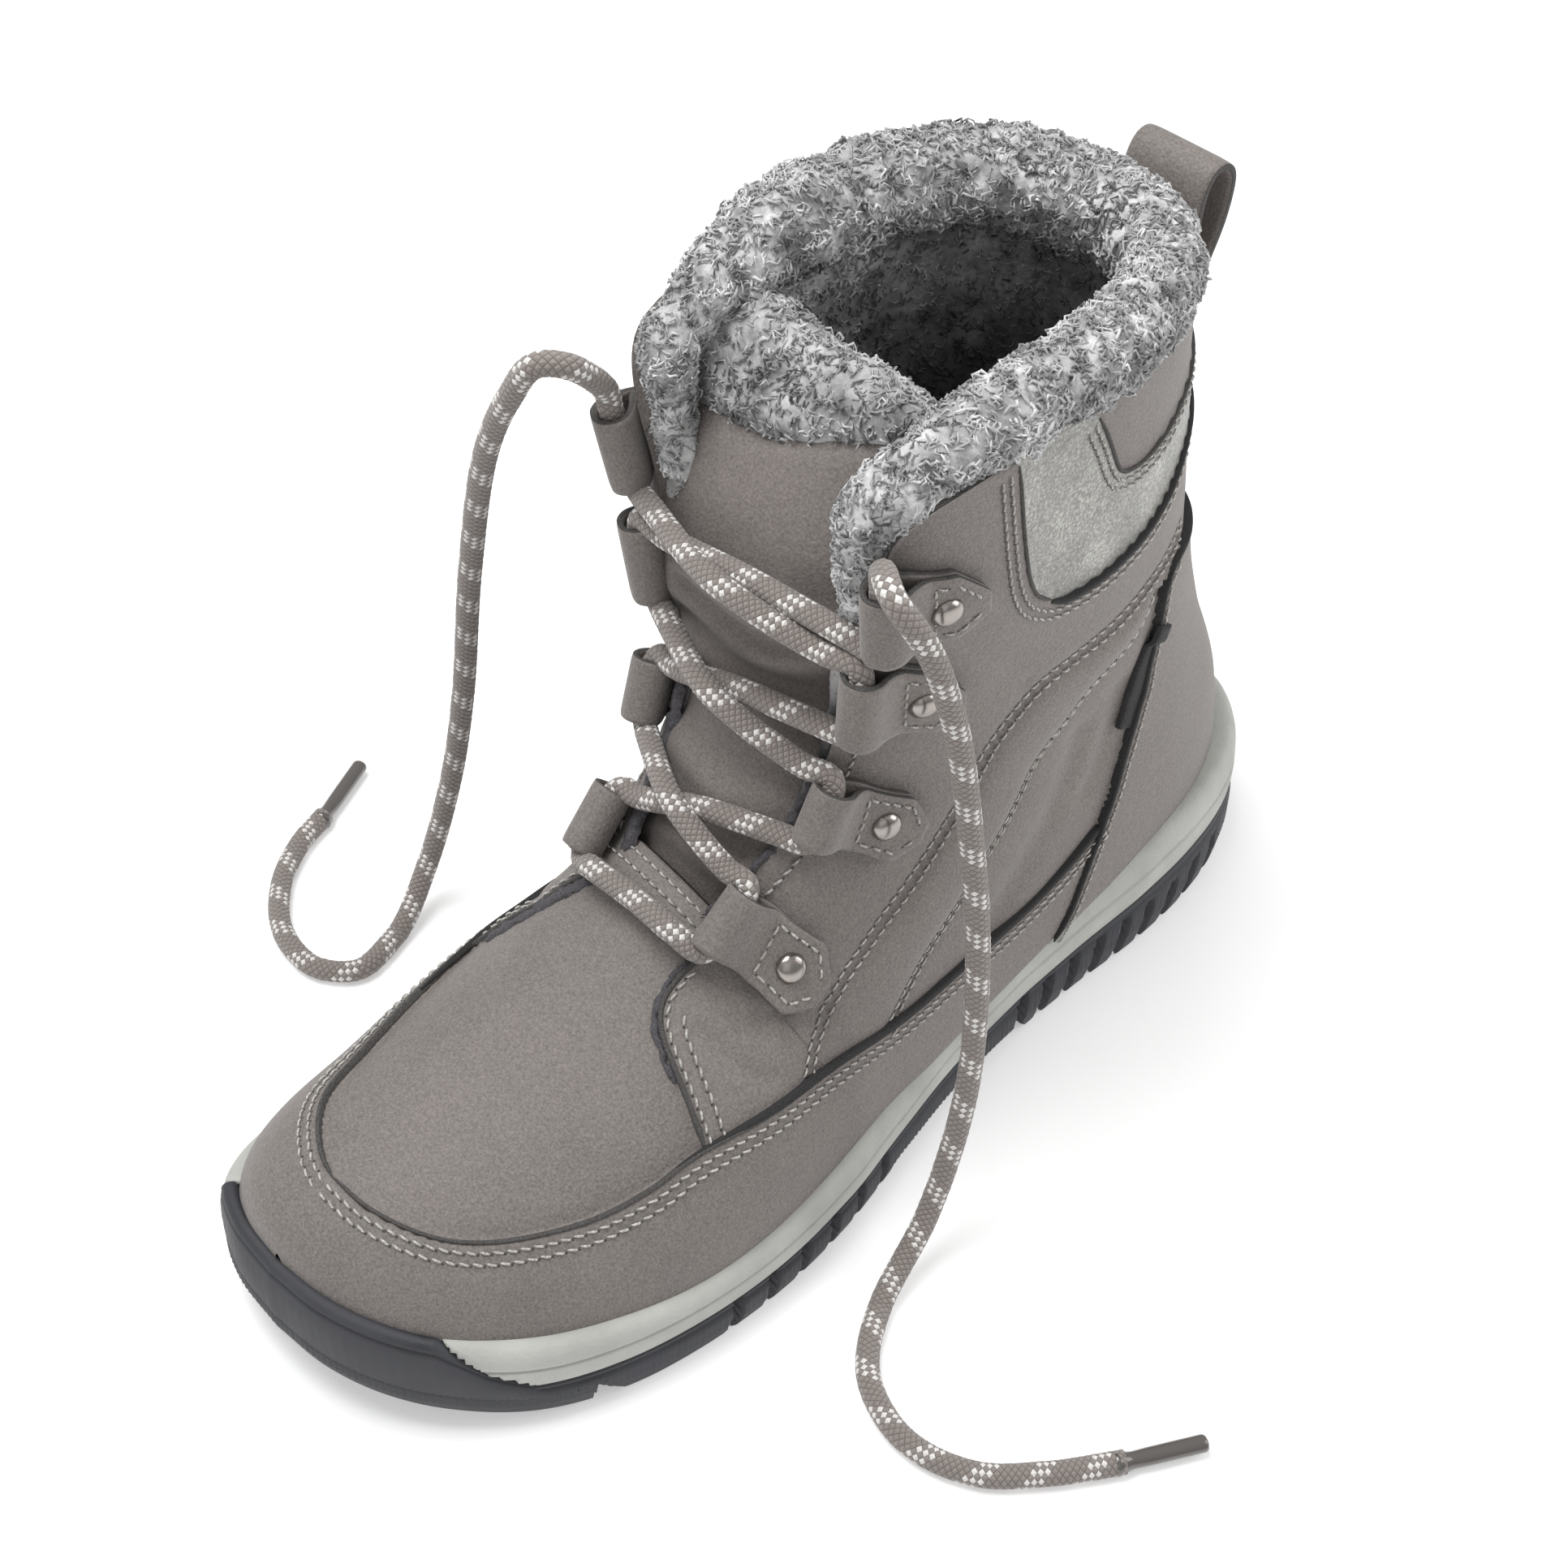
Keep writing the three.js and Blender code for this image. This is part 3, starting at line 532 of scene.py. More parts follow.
soleRows = np.array([
    # y, lateralX, medialX
    [-140.75, -10, -10], [-139.2, 4, -24], [-134, 17, -36], [-125, 28.5, -43], [-112, 38.5, -47.5],
    [-95, 45.5, -49.8], [-75, 49.5, -50.5], [-54, 50.5, -49.3], [-33, 48.5, -45], [-12, 44, -40.5],
    [10, 39.5, -37.5], [33, 37, -36.5], [56, 36.5, -37], [79, 37, -38], [98, 35.5, -37.5],
    [114, 31.5, -34.5], [127, 24, -27], [136.5, 12.5, -15], [140.75, -1.5, -1.5],
])
soleHeights = np.array([
    # y, underside, joint, feather
    [-145, 10.5, 19, 32.5], [-125, 5.2, 14.5, 26.5], [-108, 1.8, 12.2, 22.5], [-88, 0, 11.2, 20.6],
    [-60, 0, 10.8, 20], [-30, 0, 11, 21], [0, 0, 12, 22.5], [30, 0, 13.5, 25], [60, 0, 16, 29],
    [95, 0, 18.8, 33], [120, 0, 20, 34], [145, 3.5, 21, 34.5],
])


def soleHeight(column, y):
    row = np.interp(y, soleHeights[:, 0], np.arange(len(soleHeights)))
    return columnAt(soleHeights, column, row)


def bootPoint(row, turn):
    # superellipse in polar form: turn goes round from the ridge (0) by the widest place (a quarter)
    # to the back (a half), positive on the lateral side; values past a half come round again
    row, turn = np.broadcast_arrays(np.asarray(row, float), np.asarray(turn, float))
    turn = (turn + 0.5) % 1.0 - 0.5
    angle = np.abs(turn) * 2 * np.pi
    power = np.where(angle <= np.pi / 2, columnAt(upperRows, 8, row), columnAt(upperRows, 9, row))
    s, c = np.abs(np.sin(angle)), np.abs(np.cos(angle))
    reach = (s ** power + c ** power) ** (-1 / power)
    across, along = s * reach, c * reach
    belly = columnAt(upperRows, 7, row)
    way = np.where(angle <= np.pi / 2, belly * (1 - along), belly + (1 - belly) * along)
    width = np.where(turn >= 0, columnAt(upperRows, 5, row), columnAt(upperRows, 6, row))
    frontY, frontZ = columnAt(upperRows, 0, row), columnAt(upperRows, 1, row)
    backY, backZ = columnAt(upperRows, 2, row), columnAt(upperRows, 3, row)
    x = columnAt(upperRows, 4, row) + np.sign(turn) * width * across
    return np.stack([x, frontY + (backY - frontY) * way, frontZ + (backZ - frontZ) * way], -1)


def bootFrame(row, turn):
    # the point, the two surface directions per row and per turn, and the outward normal
    d, e = 0.03, 0.004
    top = np.clip(row + d, 0, len(upperRows) - 1)
    low = np.clip(row - d, 0, len(upperRows) - 1)
    perRow = (bootPoint(top, turn) - bootPoint(low, turn)) / np.maximum(top - low, 1e-6)[..., None]
    perTurn = (bootPoint(row, turn + e) - bootPoint(row, turn - e)) / (2 * e)
    return bootPoint(row, turn), perRow, perTurn, unit(np.cross(perTurn, perRow))


def polarTurn(row, turn):
    # the lace loops' places are given by the superellipse's own angle; this gives the polar one
    angle = 2 * np.pi * np.abs(turn)
    power = 2 / columnAt(upperRows, 8, row)
    return np.sign(turn) * np.arctan2(np.sin(angle) ** power, np.cos(angle) ** power) / (2 * np.pi)


# lines drawn on the upper, as (row, turn) points on the lateral side
mudguardLine = [(3.06, 0.0), (3.14, 0.047), (3.56, 0.089), (4.22, 0.117), (5.24, 0.138), (6.0, 0.144),
                (6.79, 0.148), (8.38, 0.178), (9.40, 0.210), (9.97, 0.223), (10.5, 0.233), (11.1, 0.242),
                (11.7, 0.249)]
mudguardMedial = [(3.06, 0.0), (3.24, -0.030), (3.66, -0.064), (4.17, -0.090), (4.78, -0.105), (5.5, -0.120),
                  (6.2, -0.132), (6.79, -0.142), (8.38, -0.175), (9.40, -0.208), (9.97, -0.223),
                  (10.5, -0.233), (11.1, -0.242), (11.7, -0.249)]
quarterLine = [(8.46, 0.064), (8.1, 0.058), (7.83, 0.056), (7.5, 0.057), (7.25, 0.064), (7.08, 0.078),
               (6.94, 0.105), (6.79, 0.148)]
quarterMedial = [(8.46, 0.064), (8.25, 0.073), (8.0, 0.085), (7.75, 0.096), (7.45, 0.108), (7.2, 0.118),
                 (6.97, 0.130), (6.79, 0.142)]
counterLine = [(10.5, 0.300), (10.8, 0.282), (11.05, 0.268), (11.39, 0.255), (11.76, 0.248), (12.2, 0.248),
               (12.6, 0.253), (13.17, 0.267), (13.6, 0.284), (14.11, 0.302), (14.6, 0.316), (15.02, 0.326),
               (15.26, 0.345), (15.32, 0.40), (15.32, 0.5)]
channelFront = [(8.40, 0.1765), (8.74, 0.163), (9.33, 0.156), (9.79, 0.1555), (10.72, 0.156), (11.67, 0.159),
                (12.4, 0.165), (13.1, 0.176), (13.66, 0.193), (14.1, 0.214), (14.45, 0.242), (14.75, 0.270),
                (15.05, 0.300), (15.30, 0.331), (15.5, 0.37)]
channelBack = [(9.25, 0.209), (9.6, 0.201), (9.98, 0.195), (10.55, 0.190), (11.35, 0.187), (12.13, 0.190),
               (12.7, 0.199), (13.3, 0.220), (13.8, 0.245), (14.25, 0.277), (14.6, 0.298), (14.95, 0.315)]
shimmerLine = [(17.86, 0.193), (17.24, 0.195), (16.53, 0.197), (16.05, 0.200), (15.72, 0.207), (15.56, 0.219),
               (15.53, 0.232), (15.64, 0.255), (15.88, 0.288), (16.14, 0.322), (16.42, 0.358), (16.62, 0.40),
               (16.75, 0.45), (16.8, 0.5)]
backPanelLine = [(18.05, 0.250), (17.75, 0.256), (17.4, 0.264), (17.1, 0.270), (16.93, 0.275), (16.87, 0.283),
                 (16.87, 0.300), (16.95, 0.325), (17.1, 0.36), (17.2, 0.41), (17.25, 0.45), (17.27, 0.5)]
throatLine = [(8.58, 0.0), (8.585, 0.022), (8.62, 0.038), (8.8, 0.051), (9.1, 0.058), (9.42, 0.064),
              (10.38, 0.078), (11.2, 0.084), (11.95, 0.089), (12.82, 0.095), (13.52, 0.099), (14.11, 0.102),
              (15.31, 0.109), (16.3, 0.113), (16.82, 0.118), (17.2, 0.125), (17.5, 0.139), (17.68, 0.158),
              (17.78, 0.180)]
collarLine = [(17.78, 0.180), (17.82, 0.20), (17.86, 0.23), (17.9, 0.27), (17.92, 0.31), (17.85, 0.36),
              (17.75, 0.41), (17.68, 0.45), (17.66, 0.5)]
creases = [  # line, depth, half width: soft troughs where the empty boot folds
    ([(9.1, 0.075), (8.7, 0.10), (8.3, 0.128)], 0.8, 3.0),
    ([(9.0, 0.155), (8.6, 0.13), (8.1, 0.112)], 0.9, 2.4),
    ([(8.0, 0.150), (7.7, 0.120), (7.55, 0.09)], 0.8, 2.2),
    ([(12.9, 0.225), (12.1, 0.215), (11.2, 0.215), (10.4, 0.222)], 1.3, 5.0),
    ([(13.6, 0.265), (12.9, 0.245), (12.1, 0.232)], 1.0, 3.6),
    ([(15.2, 0.16), (14.6, 0.185), (14.2, 0.20)], 0.45, 4.0),
    ([(13.9, 0.12), (13.3, 0.14), (12.8, 0.16)], 0.4, 3.5),
    ([(5.9, -0.10), (6.3, -0.05), (6.5, 0.0), (6.4, 0.05), (6.1, 0.09)], 0.45, 5.0),
]
sides = (1, -1)


def mirrored(line, side):
    return [(row, turn * side) for row, turn in line]


def mudguardTop(side):
    return mudguardLine if side > 0 else mirrored(mudguardMedial, -1)


def quarterFront(side):
    return quarterLine if side > 0 else quarterMedial


def pathOnBoot(line, spacing):
    # a smooth curve through the line's points, with samples an even distance apart on the surface
    table = curveThrough(line, 60 * len(line))
    points = bootPoint(table[:, 0], table[:, 1])
    run = runLength(points)
    at = np.linspace(0, run[-1], max(int(round(run[-1] / spacing)), 2) + 1)
    return np.interp(at, run, table[:, 0]), np.interp(at, run, table[:, 1])


def acrossRun(points, normal):
    # direction across a path on the surface: its normal crossed with its run
    return unit(np.cross(normal, unit(np.gradient(points, axis=0))))


def shifted(rows, turns, offset):
    # the same path moved sideways by offset along the surface, to its left as seen from outside
    points, perRow, perTurn, normal = bootFrame(rows, turns)
    across = acrossRun(points, normal)
    move = across * np.asarray(offset)[..., None] if np.ndim(offset) else across * offset
    a, b, c = (perRow ** 2).sum(-1), (perRow * perTurn).sum(-1), (perTurn ** 2).sum(-1)
    p, q = (perRow * move).sum(-1), (perTurn * move).sum(-1)
    det = np.maximum(a * c - b * b, 1e-6)
    return rows + (c * p - b * q) / det, turns + (a * q - b * p) / det


def distanceTo(points, line):
    # distance from each point to a path: nearest sample first, then the two stretches beside it
    path = bootPoint(*pathOnBoot(line, 1.5))
    flat = points.reshape(-1, 3)
    near = np.empty(len(flat), dtype=int)
    batch = 20000  # points compared at a time, to keep the table of distances small
    for first in range(0, len(flat), batch):
        part = flat[first:first + batch].astype(np.float32)
        square = ((part[:, None, :] - path[None].astype(np.float32)) ** 2).sum(-1)
        near[first:first + batch] = square.argmin(1)
    best = np.full(len(flat), 1e9)
    for shift in (-1, 0):
        i = np.clip(near + shift, 0, len(path) - 2)
        a, b = path[i], path[i + 1]
        t = np.clip(((flat - a) * (b - a)).sum(-1) / ((b - a) ** 2).sum(-1), 0, 1)[:, None]
        best = np.minimum(best, np.linalg.norm(flat - a - t * (b - a), axis=-1))
    return best.reshape(points.shape[:-1])


def insideOf(rows, turns, outline):
    # even-odd rule: count the outline's sides that a ray toward higher rows crosses
    corners = np.asarray(outline, float)
    inside = np.zeros(np.shape(rows), dtype=bool)
    for (r0, t0), (r1, t1) in zip(corners, np.roll(corners, -1, axis=0)):
        crosses = (t0 > turns) != (t1 > turns)
        at = r0 + (turns - t0) * (r1 - r0) / (t1 - t0 if t1 != t0 else 1e-9)
        inside ^= crosses & (rows < at)
    return inside


def fine(line):
    # the same line with twelve points for each one
    return [tuple(p) for p in curveThrough(line, 12 * len(line))]


mudguardRing = fine(mudguardMedial)[::-1] + fine(mudguardLine)
apronOutline = (fine(mudguardMedial[:8])[::-1] + fine(mudguardLine[:7]) + fine(quarterLine)[::-1]
                + [(8.9, 0.04), (8.9, -0.04)] + fine(mirrored(quarterMedial, -1)))


def panelOutline(name, side):
    if name == "counter":
        below = [(15.32, 0.56 * side), (9.0, 0.56 * side), (9.0, 0.36 * side)]
        return fine(mirrored(counterLine, side)) + below
    line = shimmerLine if name == "shimmer" else backPanelLine
    return fine(mirrored(line, side)) + [(19.5, 0.56 * side), (19.5, line[0][1] * side)]


panelHeights = {"apron": -0.9, "mudguard": 0.8, "counter": 1.5, "shimmer": -0.45, "backPanel": -0.95}
panelStep = 0.6  # width of the slope at a panel's edge
# the padded channel: how far it stands out, how fast it rises from its seams, where it fades out
# above the mudguard, and the dent along each seam
channel = {"puff": 2.3, "rise": 3.2, "fadeFrom": 8.9, "fade": 1.6, "dent": 0.5, "dentWidth": 1.9}


def onPanel(rows, turns, name):
    folded = (turns + 0.5) % 1.0 - 0.5
    if name == "apron":
        return insideOf(rows, folded, apronOutline)
    if name == "mudguard":
        return insideOf(rows, folded, mudguardRing + [(11.7, 0.56), (-1, 0.56), (-1, -0.56), (11.7, -0.56)])
    return insideOf(rows, np.abs(folded), panelOutline(name, 1))


def panelDistance(points, rows, turns, name):
    lines = {"apron": [mudguardMedial[:8], mudguardLine[:7], quarterLine, mirrored(quarterMedial, -1)],
             "mudguard": [mudguardMedial, mudguardLine], "counter": [counterLine, mirrored(counterLine, -1)],
             "shimmer": [shimmerLine, mirrored(shimmerLine, -1)],
             "backPanel": [backPanelLine, mirrored(backPanelLine, -1)]}[name]
    away = np.minimum.reduce([distanceTo(points, line) for line in lines])
    return np.where(onPanel(rows, turns, name), away, -away)


def relief(rows, turns):
    # panel heights blended over a narrow step at each edge, plus the padded channel and the creases
    rows, turns = np.broadcast_arrays(np.asarray(rows, float), np.asarray(turns, float))
    points = bootPoint(rows, turns)
    folded = (turns + 0.5) % 1.0 - 0.5
    height = np.zeros(rows.shape)
    for side in sides:
        outline = fine(mirrored(channelFront, side)) + fine(mirrored(channelBack, side))[::-1]
        near = insideOf(rows, folded, outline)
        front = distanceTo(points, mirrored(channelFront, side))
        back = distanceTo(points, mirrored(channelBack, side))
        puff = channel["puff"] * smoothStep((rows - channel["fadeFrom"]) / channel["fade"])
        for away in (front, back):
            puff = puff * (1 - np.exp(-away / channel["rise"]))
        height += np.where(near, puff, 0.0)
        for away in (front, back):
            height -= channel["dent"] * np.exp(-(away / channel["dentWidth"]) ** 2)
        for line, depth, width in creases:
            if side > 0 or line[0][1] > 0:
                height -= depth * np.exp(-(distanceTo(points, mirrored(line, side)) / width) ** 2)
    height += 0.22 * softNoise(points, 17.0, 3) + 0.10 * softNoise(points, 7.0, 4)
    for name in ("shimmer", "backPanel", "apron", "mudguard", "counter"):
        level = panelHeights[name] + 0.15 * softNoise(points, 14.0, 5)
        step = smoothStep((panelDistance(points, rows, turns, name) + panelStep / 2) / panelStep)
        height = height + step * (level - height)
    return height


def onUpper(rows, turns, lift=0.0):
    # a point lifted off the upper's finished surface, relief included
    points, _, _, normal = bootFrame(rows, turns)
    return points + normal * (relief(rows, turns) + lift)[..., None], normal


# the upper's leather shell
shellSizes = {"rows": 250, "columns": 118, "tuck": 3.0, "belowFeather": 1.2}


def featherTurn(rows):
    # turn where each section meets the sole's edge, by halving; a half once the section is above it
    low, high = np.full(len(rows), 0.05), np.full(len(rows), 0.5)
    back = bootPoint(rows, high)
    above = back[:, 2] > soleHeight(3, back[:, 1]) - shellSizes["belowFeather"]
    for _ in range(30):
        middle = (low + high) / 2
        at = bootPoint(rows, middle)
        over = at[:, 2] > soleHeight(3, at[:, 1]) - shellSizes["belowFeather"]
        low, high = np.where(over, middle, low), np.where(over, high, middle)
    return np.where(above, 0.5, low)


throatTable = curveThrough(throatLine, 300)
collarTable = curveThrough(collarLine, 200)


def shellDomain(rowCount, columnCount, firstRow=0.03):
    # rows spread evenly by length along the boot's side, columns evenly by length round each row;
    # the front limit is the throat's edge and the last rows bend up to the collar's line
    lastRow = throatLine[-1][0]
    dense = np.linspace(firstRow, lastRow, 1500)
    length = sum(np.linalg.norm(np.gradient(bootPoint(dense, turn), axis=0), axis=1)
                 for turn in (0.12, 0.3, 0.47))
    run = np.cumsum(length)
    rows = np.interp(np.linspace(run[0], run[-1], rowCount - 26), run, dense)
    rows = np.sort(np.concatenate([rows, np.linspace(12.2, 12.62, 16), np.linspace(8.55, 8.8, 10)]))
    front = np.interp(rows, throatTable[:, 0], throatTable[:, 1])
    front[rows < throatLine[0][0]] = 0.0
    back = featherTurn(rows)
    turns = np.empty((rowCount, columnCount))
    for i in range(rowCount):
        fan = np.linspace(front[i], back[i], 500)
        run = runLength(bootPoint(rows[i], fan))
        turns[i] = np.interp(np.linspace(0, run[-1], columnCount), run, fan)
    rise = np.interp(turns, collarTable[:, 1], collarTable[:, 0]) - lastRow
    bend = smoothStep((rows - 15.5) / (lastRow - 15.5))[:, None]
    return rows[:, None] + rise * bend, turns


def makeShell():
    rowCount, columnCount = shellSizes["rows"], shellSizes["columns"]
    halfRows, halfTurns = shellDomain(rowCount, columnCount)
    rows = np.concatenate([halfRows[:, ::-1], halfRows], axis=1)
    turns = np.concatenate([-halfTurns[:, ::-1], halfTurns], axis=1)
    points, _, _, normal = bootFrame(rows, turns)
    points = points + normal * relief(rows, turns)[..., None]
    pale = panelDistance(points, rows, turns, "shimmer")
    pale = np.minimum(pale, -panelDistance(points, rows, turns, "backPanel"))
    # the collar's edge turns under: one more ring set in from the edge and down into the pile
    points = np.concatenate([points, points[-1:] - normal[-1:] * shellSizes["tuck"]])
    pale = np.concatenate([pale, pale[-1:]])
    columns = 2 * columnCount
    faces = gridFaces(rowCount + 1, columns)
    shut = halfRows[:, 0] < throatLine[0][0] - 0.004  # rows in front of the throat are whole
    ridge = np.arange(rowCount)[shut] * columns + columnCount
    faces = faces[(faces % columns)[:, :2].min(1) != columnCount - 1]
    flat = points.reshape(-1, 3)
    # the two middle columns meet on the ridge there, so they share one column of points
    joined = np.arange(len(flat))
    joined[ridge - 1] = ridge
    faces = joined[faces]
    last = ridge[-1]
    extra, extraFaces, start = [], [], len(flat)
    edge = np.arange(rowCount)[~shut]
    for side, column in ((1, columnCount), (-1, columnCount - 1)):
        rim = np.concatenate([[last], edge * columns + column])
        frames = np.concatenate([[edge[0] - 1], edge])
        under = flat[rim] - normal[frames, column] * shellSizes["tuck"]
        extra.append(under)
        new = start + np.arange(len(rim))
        quads = np.stack([rim[:-1], rim[1:], new[1:], new[:-1]], -1)
        extraFaces.append(quads[:, ::-1] if side > 0 else quads)
        start += len(rim)
    flat = np.concatenate([flat] + extra)
    pale = np.concatenate([pale.ravel(), np.full(len(flat) - pale.size, -5.0)])
    faces = np.concatenate([faces] + extraFaces)[:, ::-1]
    shell = makePiece("upperLeather", flat, faces, "panels", "leather", values={"shimmer": pale})
    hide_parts("upper")


# lace loops: their places, in the CAD's own numbers
loops = [  # lowRow, highRow, eyeTurn, rivetTurn, tipTurn, lowest first
    (8.5, 9.65, 0.064, 0.115, 0.142), (10.9, 12.15, 0.080, 0.126, 0.151),
    (13.45, 14.95, 0.092, 0.150, 0.182), (15.5, 16.75, 0.108, 0.165, 0.200),
]
loopSizes = {"eyeLift": 5.2, "eyeRadius": 3.75, "thick": 1.4, "tabTop": 2.5, "tabUnder": 0.95,
             "along": 88, "across": 17}


def eyeEnds(loop, side):
    lowRow, highRow, eyeTurn = loops[loop][:3]
    rows = np.array([lowRow, highRow])
    points, _, _, normal = bootFrame(rows, polarTurn(rows, np.full(2, side * eyeTurn)))
    return points + normal * loopSizes["eyeLift"]


# the free lace ends
laceEnds = {
    1: {"route": [(42, -25, 172), (48, -21.5, 162), (51, -15.5, 141), (53.5, -11, 112), (57.5, -9.5, 78),
                  (61, -13, 42), (63, -24, 13), (68, -43, 2.6), (78.5, -57, 2.6), (94, -62, 2.6),
                  (108.5, -57.5, 2.6), (119, -46.5, 2.6), (128, -33, 2.6)],
        "tip": (136.5, -17.5, 2.6), "nodes": ("lace_end_lateral", "aglet_lateral"), "name": "Lateral"},
    -1: {"route": [(-39.5, -29.5, 181), (-43.5, -33.5, 181), (-50, -35, 171), (-59, -34.5, 153),
                   (-72.5, -30.5, 112), (-82, -28, 68), (-88, -29, 38), (-90.5, -36, 13), (-85.5, -50, 2.6),
                   (-82.5, -64, 2.6), (-90, -71, 2.6), (-104, -70, 2.6), (-117, -61, 2.6), (-125, -49.5, 2.6),
                   (-129, -38.5, 2.6)],
         "tip": (-137.5, -20.5, 2.6), "nodes": ("lace_end_medial", "aglet_medial"), "name": "Medial"},
}
cordMesh = {"around": 28, "step": 0.56, "crown": 0.20}
sleeveSizes = {"around": 24, "rings": 40, "overlap": 3.0, "radius": 1.85, "flare": 0.85, "crimp": 0.07}


def roundCurve(points, spacing):
    # centripetal Catmull-Rom curve, which neither loops nor overshoots where its points crowd
    p = np.asarray(points, float)
    p = np.concatenate([2 * p[:1] - p[1:2], p, 2 * p[-1:] - p[-2:-1]])
    knots = np.concatenate([[0], np.cumsum(np.sqrt(np.linalg.norm(np.diff(p, axis=0), axis=1)))])
    parts = []
    for i in range(1, len(p) - 2):
        t = np.linspace(knots[i], knots[i + 1], 60, endpoint=i == len(p) - 3)[:, None]
        a = [((knots[j + 1] - t) * p[j] + (t - knots[j]) * p[j + 1]) / (knots[j + 1] - knots[j])
             for j in (i - 1, i, i + 1)]
        b = [((knots[j + 2] - t) * a[k] + (t - knots[j]) * a[k + 1]) / (knots[j + 2] - knots[j])
             for k, j in ((0, i - 1), (1, i))]
        parts.append(((knots[i + 1] - t) * b[0] + (t - knots[i]) * b[1]) / (knots[i + 1] - knots[i]))
    return evenly(np.concatenate(parts), spacing=spacing)


def carriedFrames(path):
    # two directions square to the path, carried along it without twist, ring after ring
    run = unit(np.gradient(path, axis=0))
    one = np.empty_like(path)
    seed = np.cross(run[0], (0.0, 0.0, 1.0))
    one[0] = seed / np.linalg.norm(seed)
    for i in range(1, len(path)):
        last = one[i - 1] - run[i] * (one[i - 1] @ run[i])
        one[i] = last / np.linalg.norm(last)
    return one, np.cross(run, one)


def tubeAlong(path, radius, around):
    # a ring of points square to the path at each of its points; radius may differ by ring and by
    # place in the ring
    one, two = carriedFrames(path)
    turn = fullTurn(around)
    radius = np.broadcast_to(radius, (len(path), around))[..., None]
    ring = one[:, None] * np.cos(turn)[:, None] + two[:, None] * np.sin(turn)[:, None]
    return path[:, None] + radius * ring


def braidedCord(path):
    # crown: each braid cell swells by the smaller of its two diagonal waves
    around = cordMesh["around"]
    along = runLength(path) / laceLook["cellLength"]
    turn = np.arange(around) / around * laceLook["strands"]
    wave = np.minimum(*[np.abs((along[:, None] + way * turn) % 1 - 0.5) for way in (1, -1)])
    radius = laceLook["thick"] / 2 - 0.1 + cordMesh["crown"] * (0.5 - 2 * wave)
    radius[0] = radius[-1] = 0.4
    points = tubeAlong(path, radius, around)
    faces = gridFaces(len(path), around, wrap=True)
    ring, place = np.divmod(faces[:, 0], around)
    u = np.stack([place, place + 1, place + 1, place], -1) / around
    v = along[np.stack([ring, ring, ring + 1, ring + 1], -1)]
    return points.reshape(-1, 3), faces, np.stack([u, v], -1)


def makeFreeEnd(side):
    end = laceEnds[side]
    low, high = eyeEnds(3, side)
    axis = unit(high - low)
    route = [high + axis * d for d in (-3.0, 1.0, 5.0)] + [np.array(p, float) for p in end["route"]]
    path = roundCurve(route, cordMesh["step"])
    path[:, 2] = np.maximum(path[:, 2], 2.62)
    points, faces, uv = braidedCord(path)
    cordPiece = makePiece("laceEnd" + end["name"], points, faces, "lace", "cord", uv=uv)
    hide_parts(end["nodes"][0])
    # the dark sleeve: a tube drawn over the last few millimetres, pinched flat at its tip
    rings, around = sleeveSizes["rings"], sleeveSizes["around"]
    tip = np.array(end["tip"], float)
    outward = unit(tip - path[-1])
    reach = np.linspace(-sleeveSizes["overlap"], np.linalg.norm(tip - path[-1]), rings)
    share = np.linspace(0, 1, rings)
    radius = sleeveSizes["radius"] + sleeveSizes["flare"] * smoothStep(1 - share / 0.22)
    radius[-2:] = (1.6, 0.3)
    radius[0] = 2.2
    crimp = sleeveSizes["crimp"] * np.cos(2 * fullTurn(around))[None]
    crimp = 1 + crimp * smoothStep((share[:, None] - 0.2) / 0.2)
    sleevePoints = tubeAlong(path[-1] + outward * reach[:, None], radius[:, None] * crimp, around)
    sleevePoints[..., 2] = np.maximum(sleevePoints[..., 2], 0.15)
    sleeve = makePiece("laceTip" + end["name"], sleevePoints.reshape(-1, 3),
                       gridFaces(rings, around, wrap=True), "sleeve", "plastic")
    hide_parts(end["nodes"][1])


for side in sides:
    makeFreeEnd(side)
makeShell()


# the laced stretch, one cord through all eight loops
laced = {"inward": 1.5, "past": 1.1, "within": 2.2, "over": 5.4, "under": 0.4, "sag": 1.2, "tucked": 3.4,
         "barRow": 8.33, "barLift": 3.6}


def ridgePoint(row, lift):
    points, _, _, normal = bootFrame(np.array([row]), np.array([0.001]))
    return (points + normal * lift)[0]


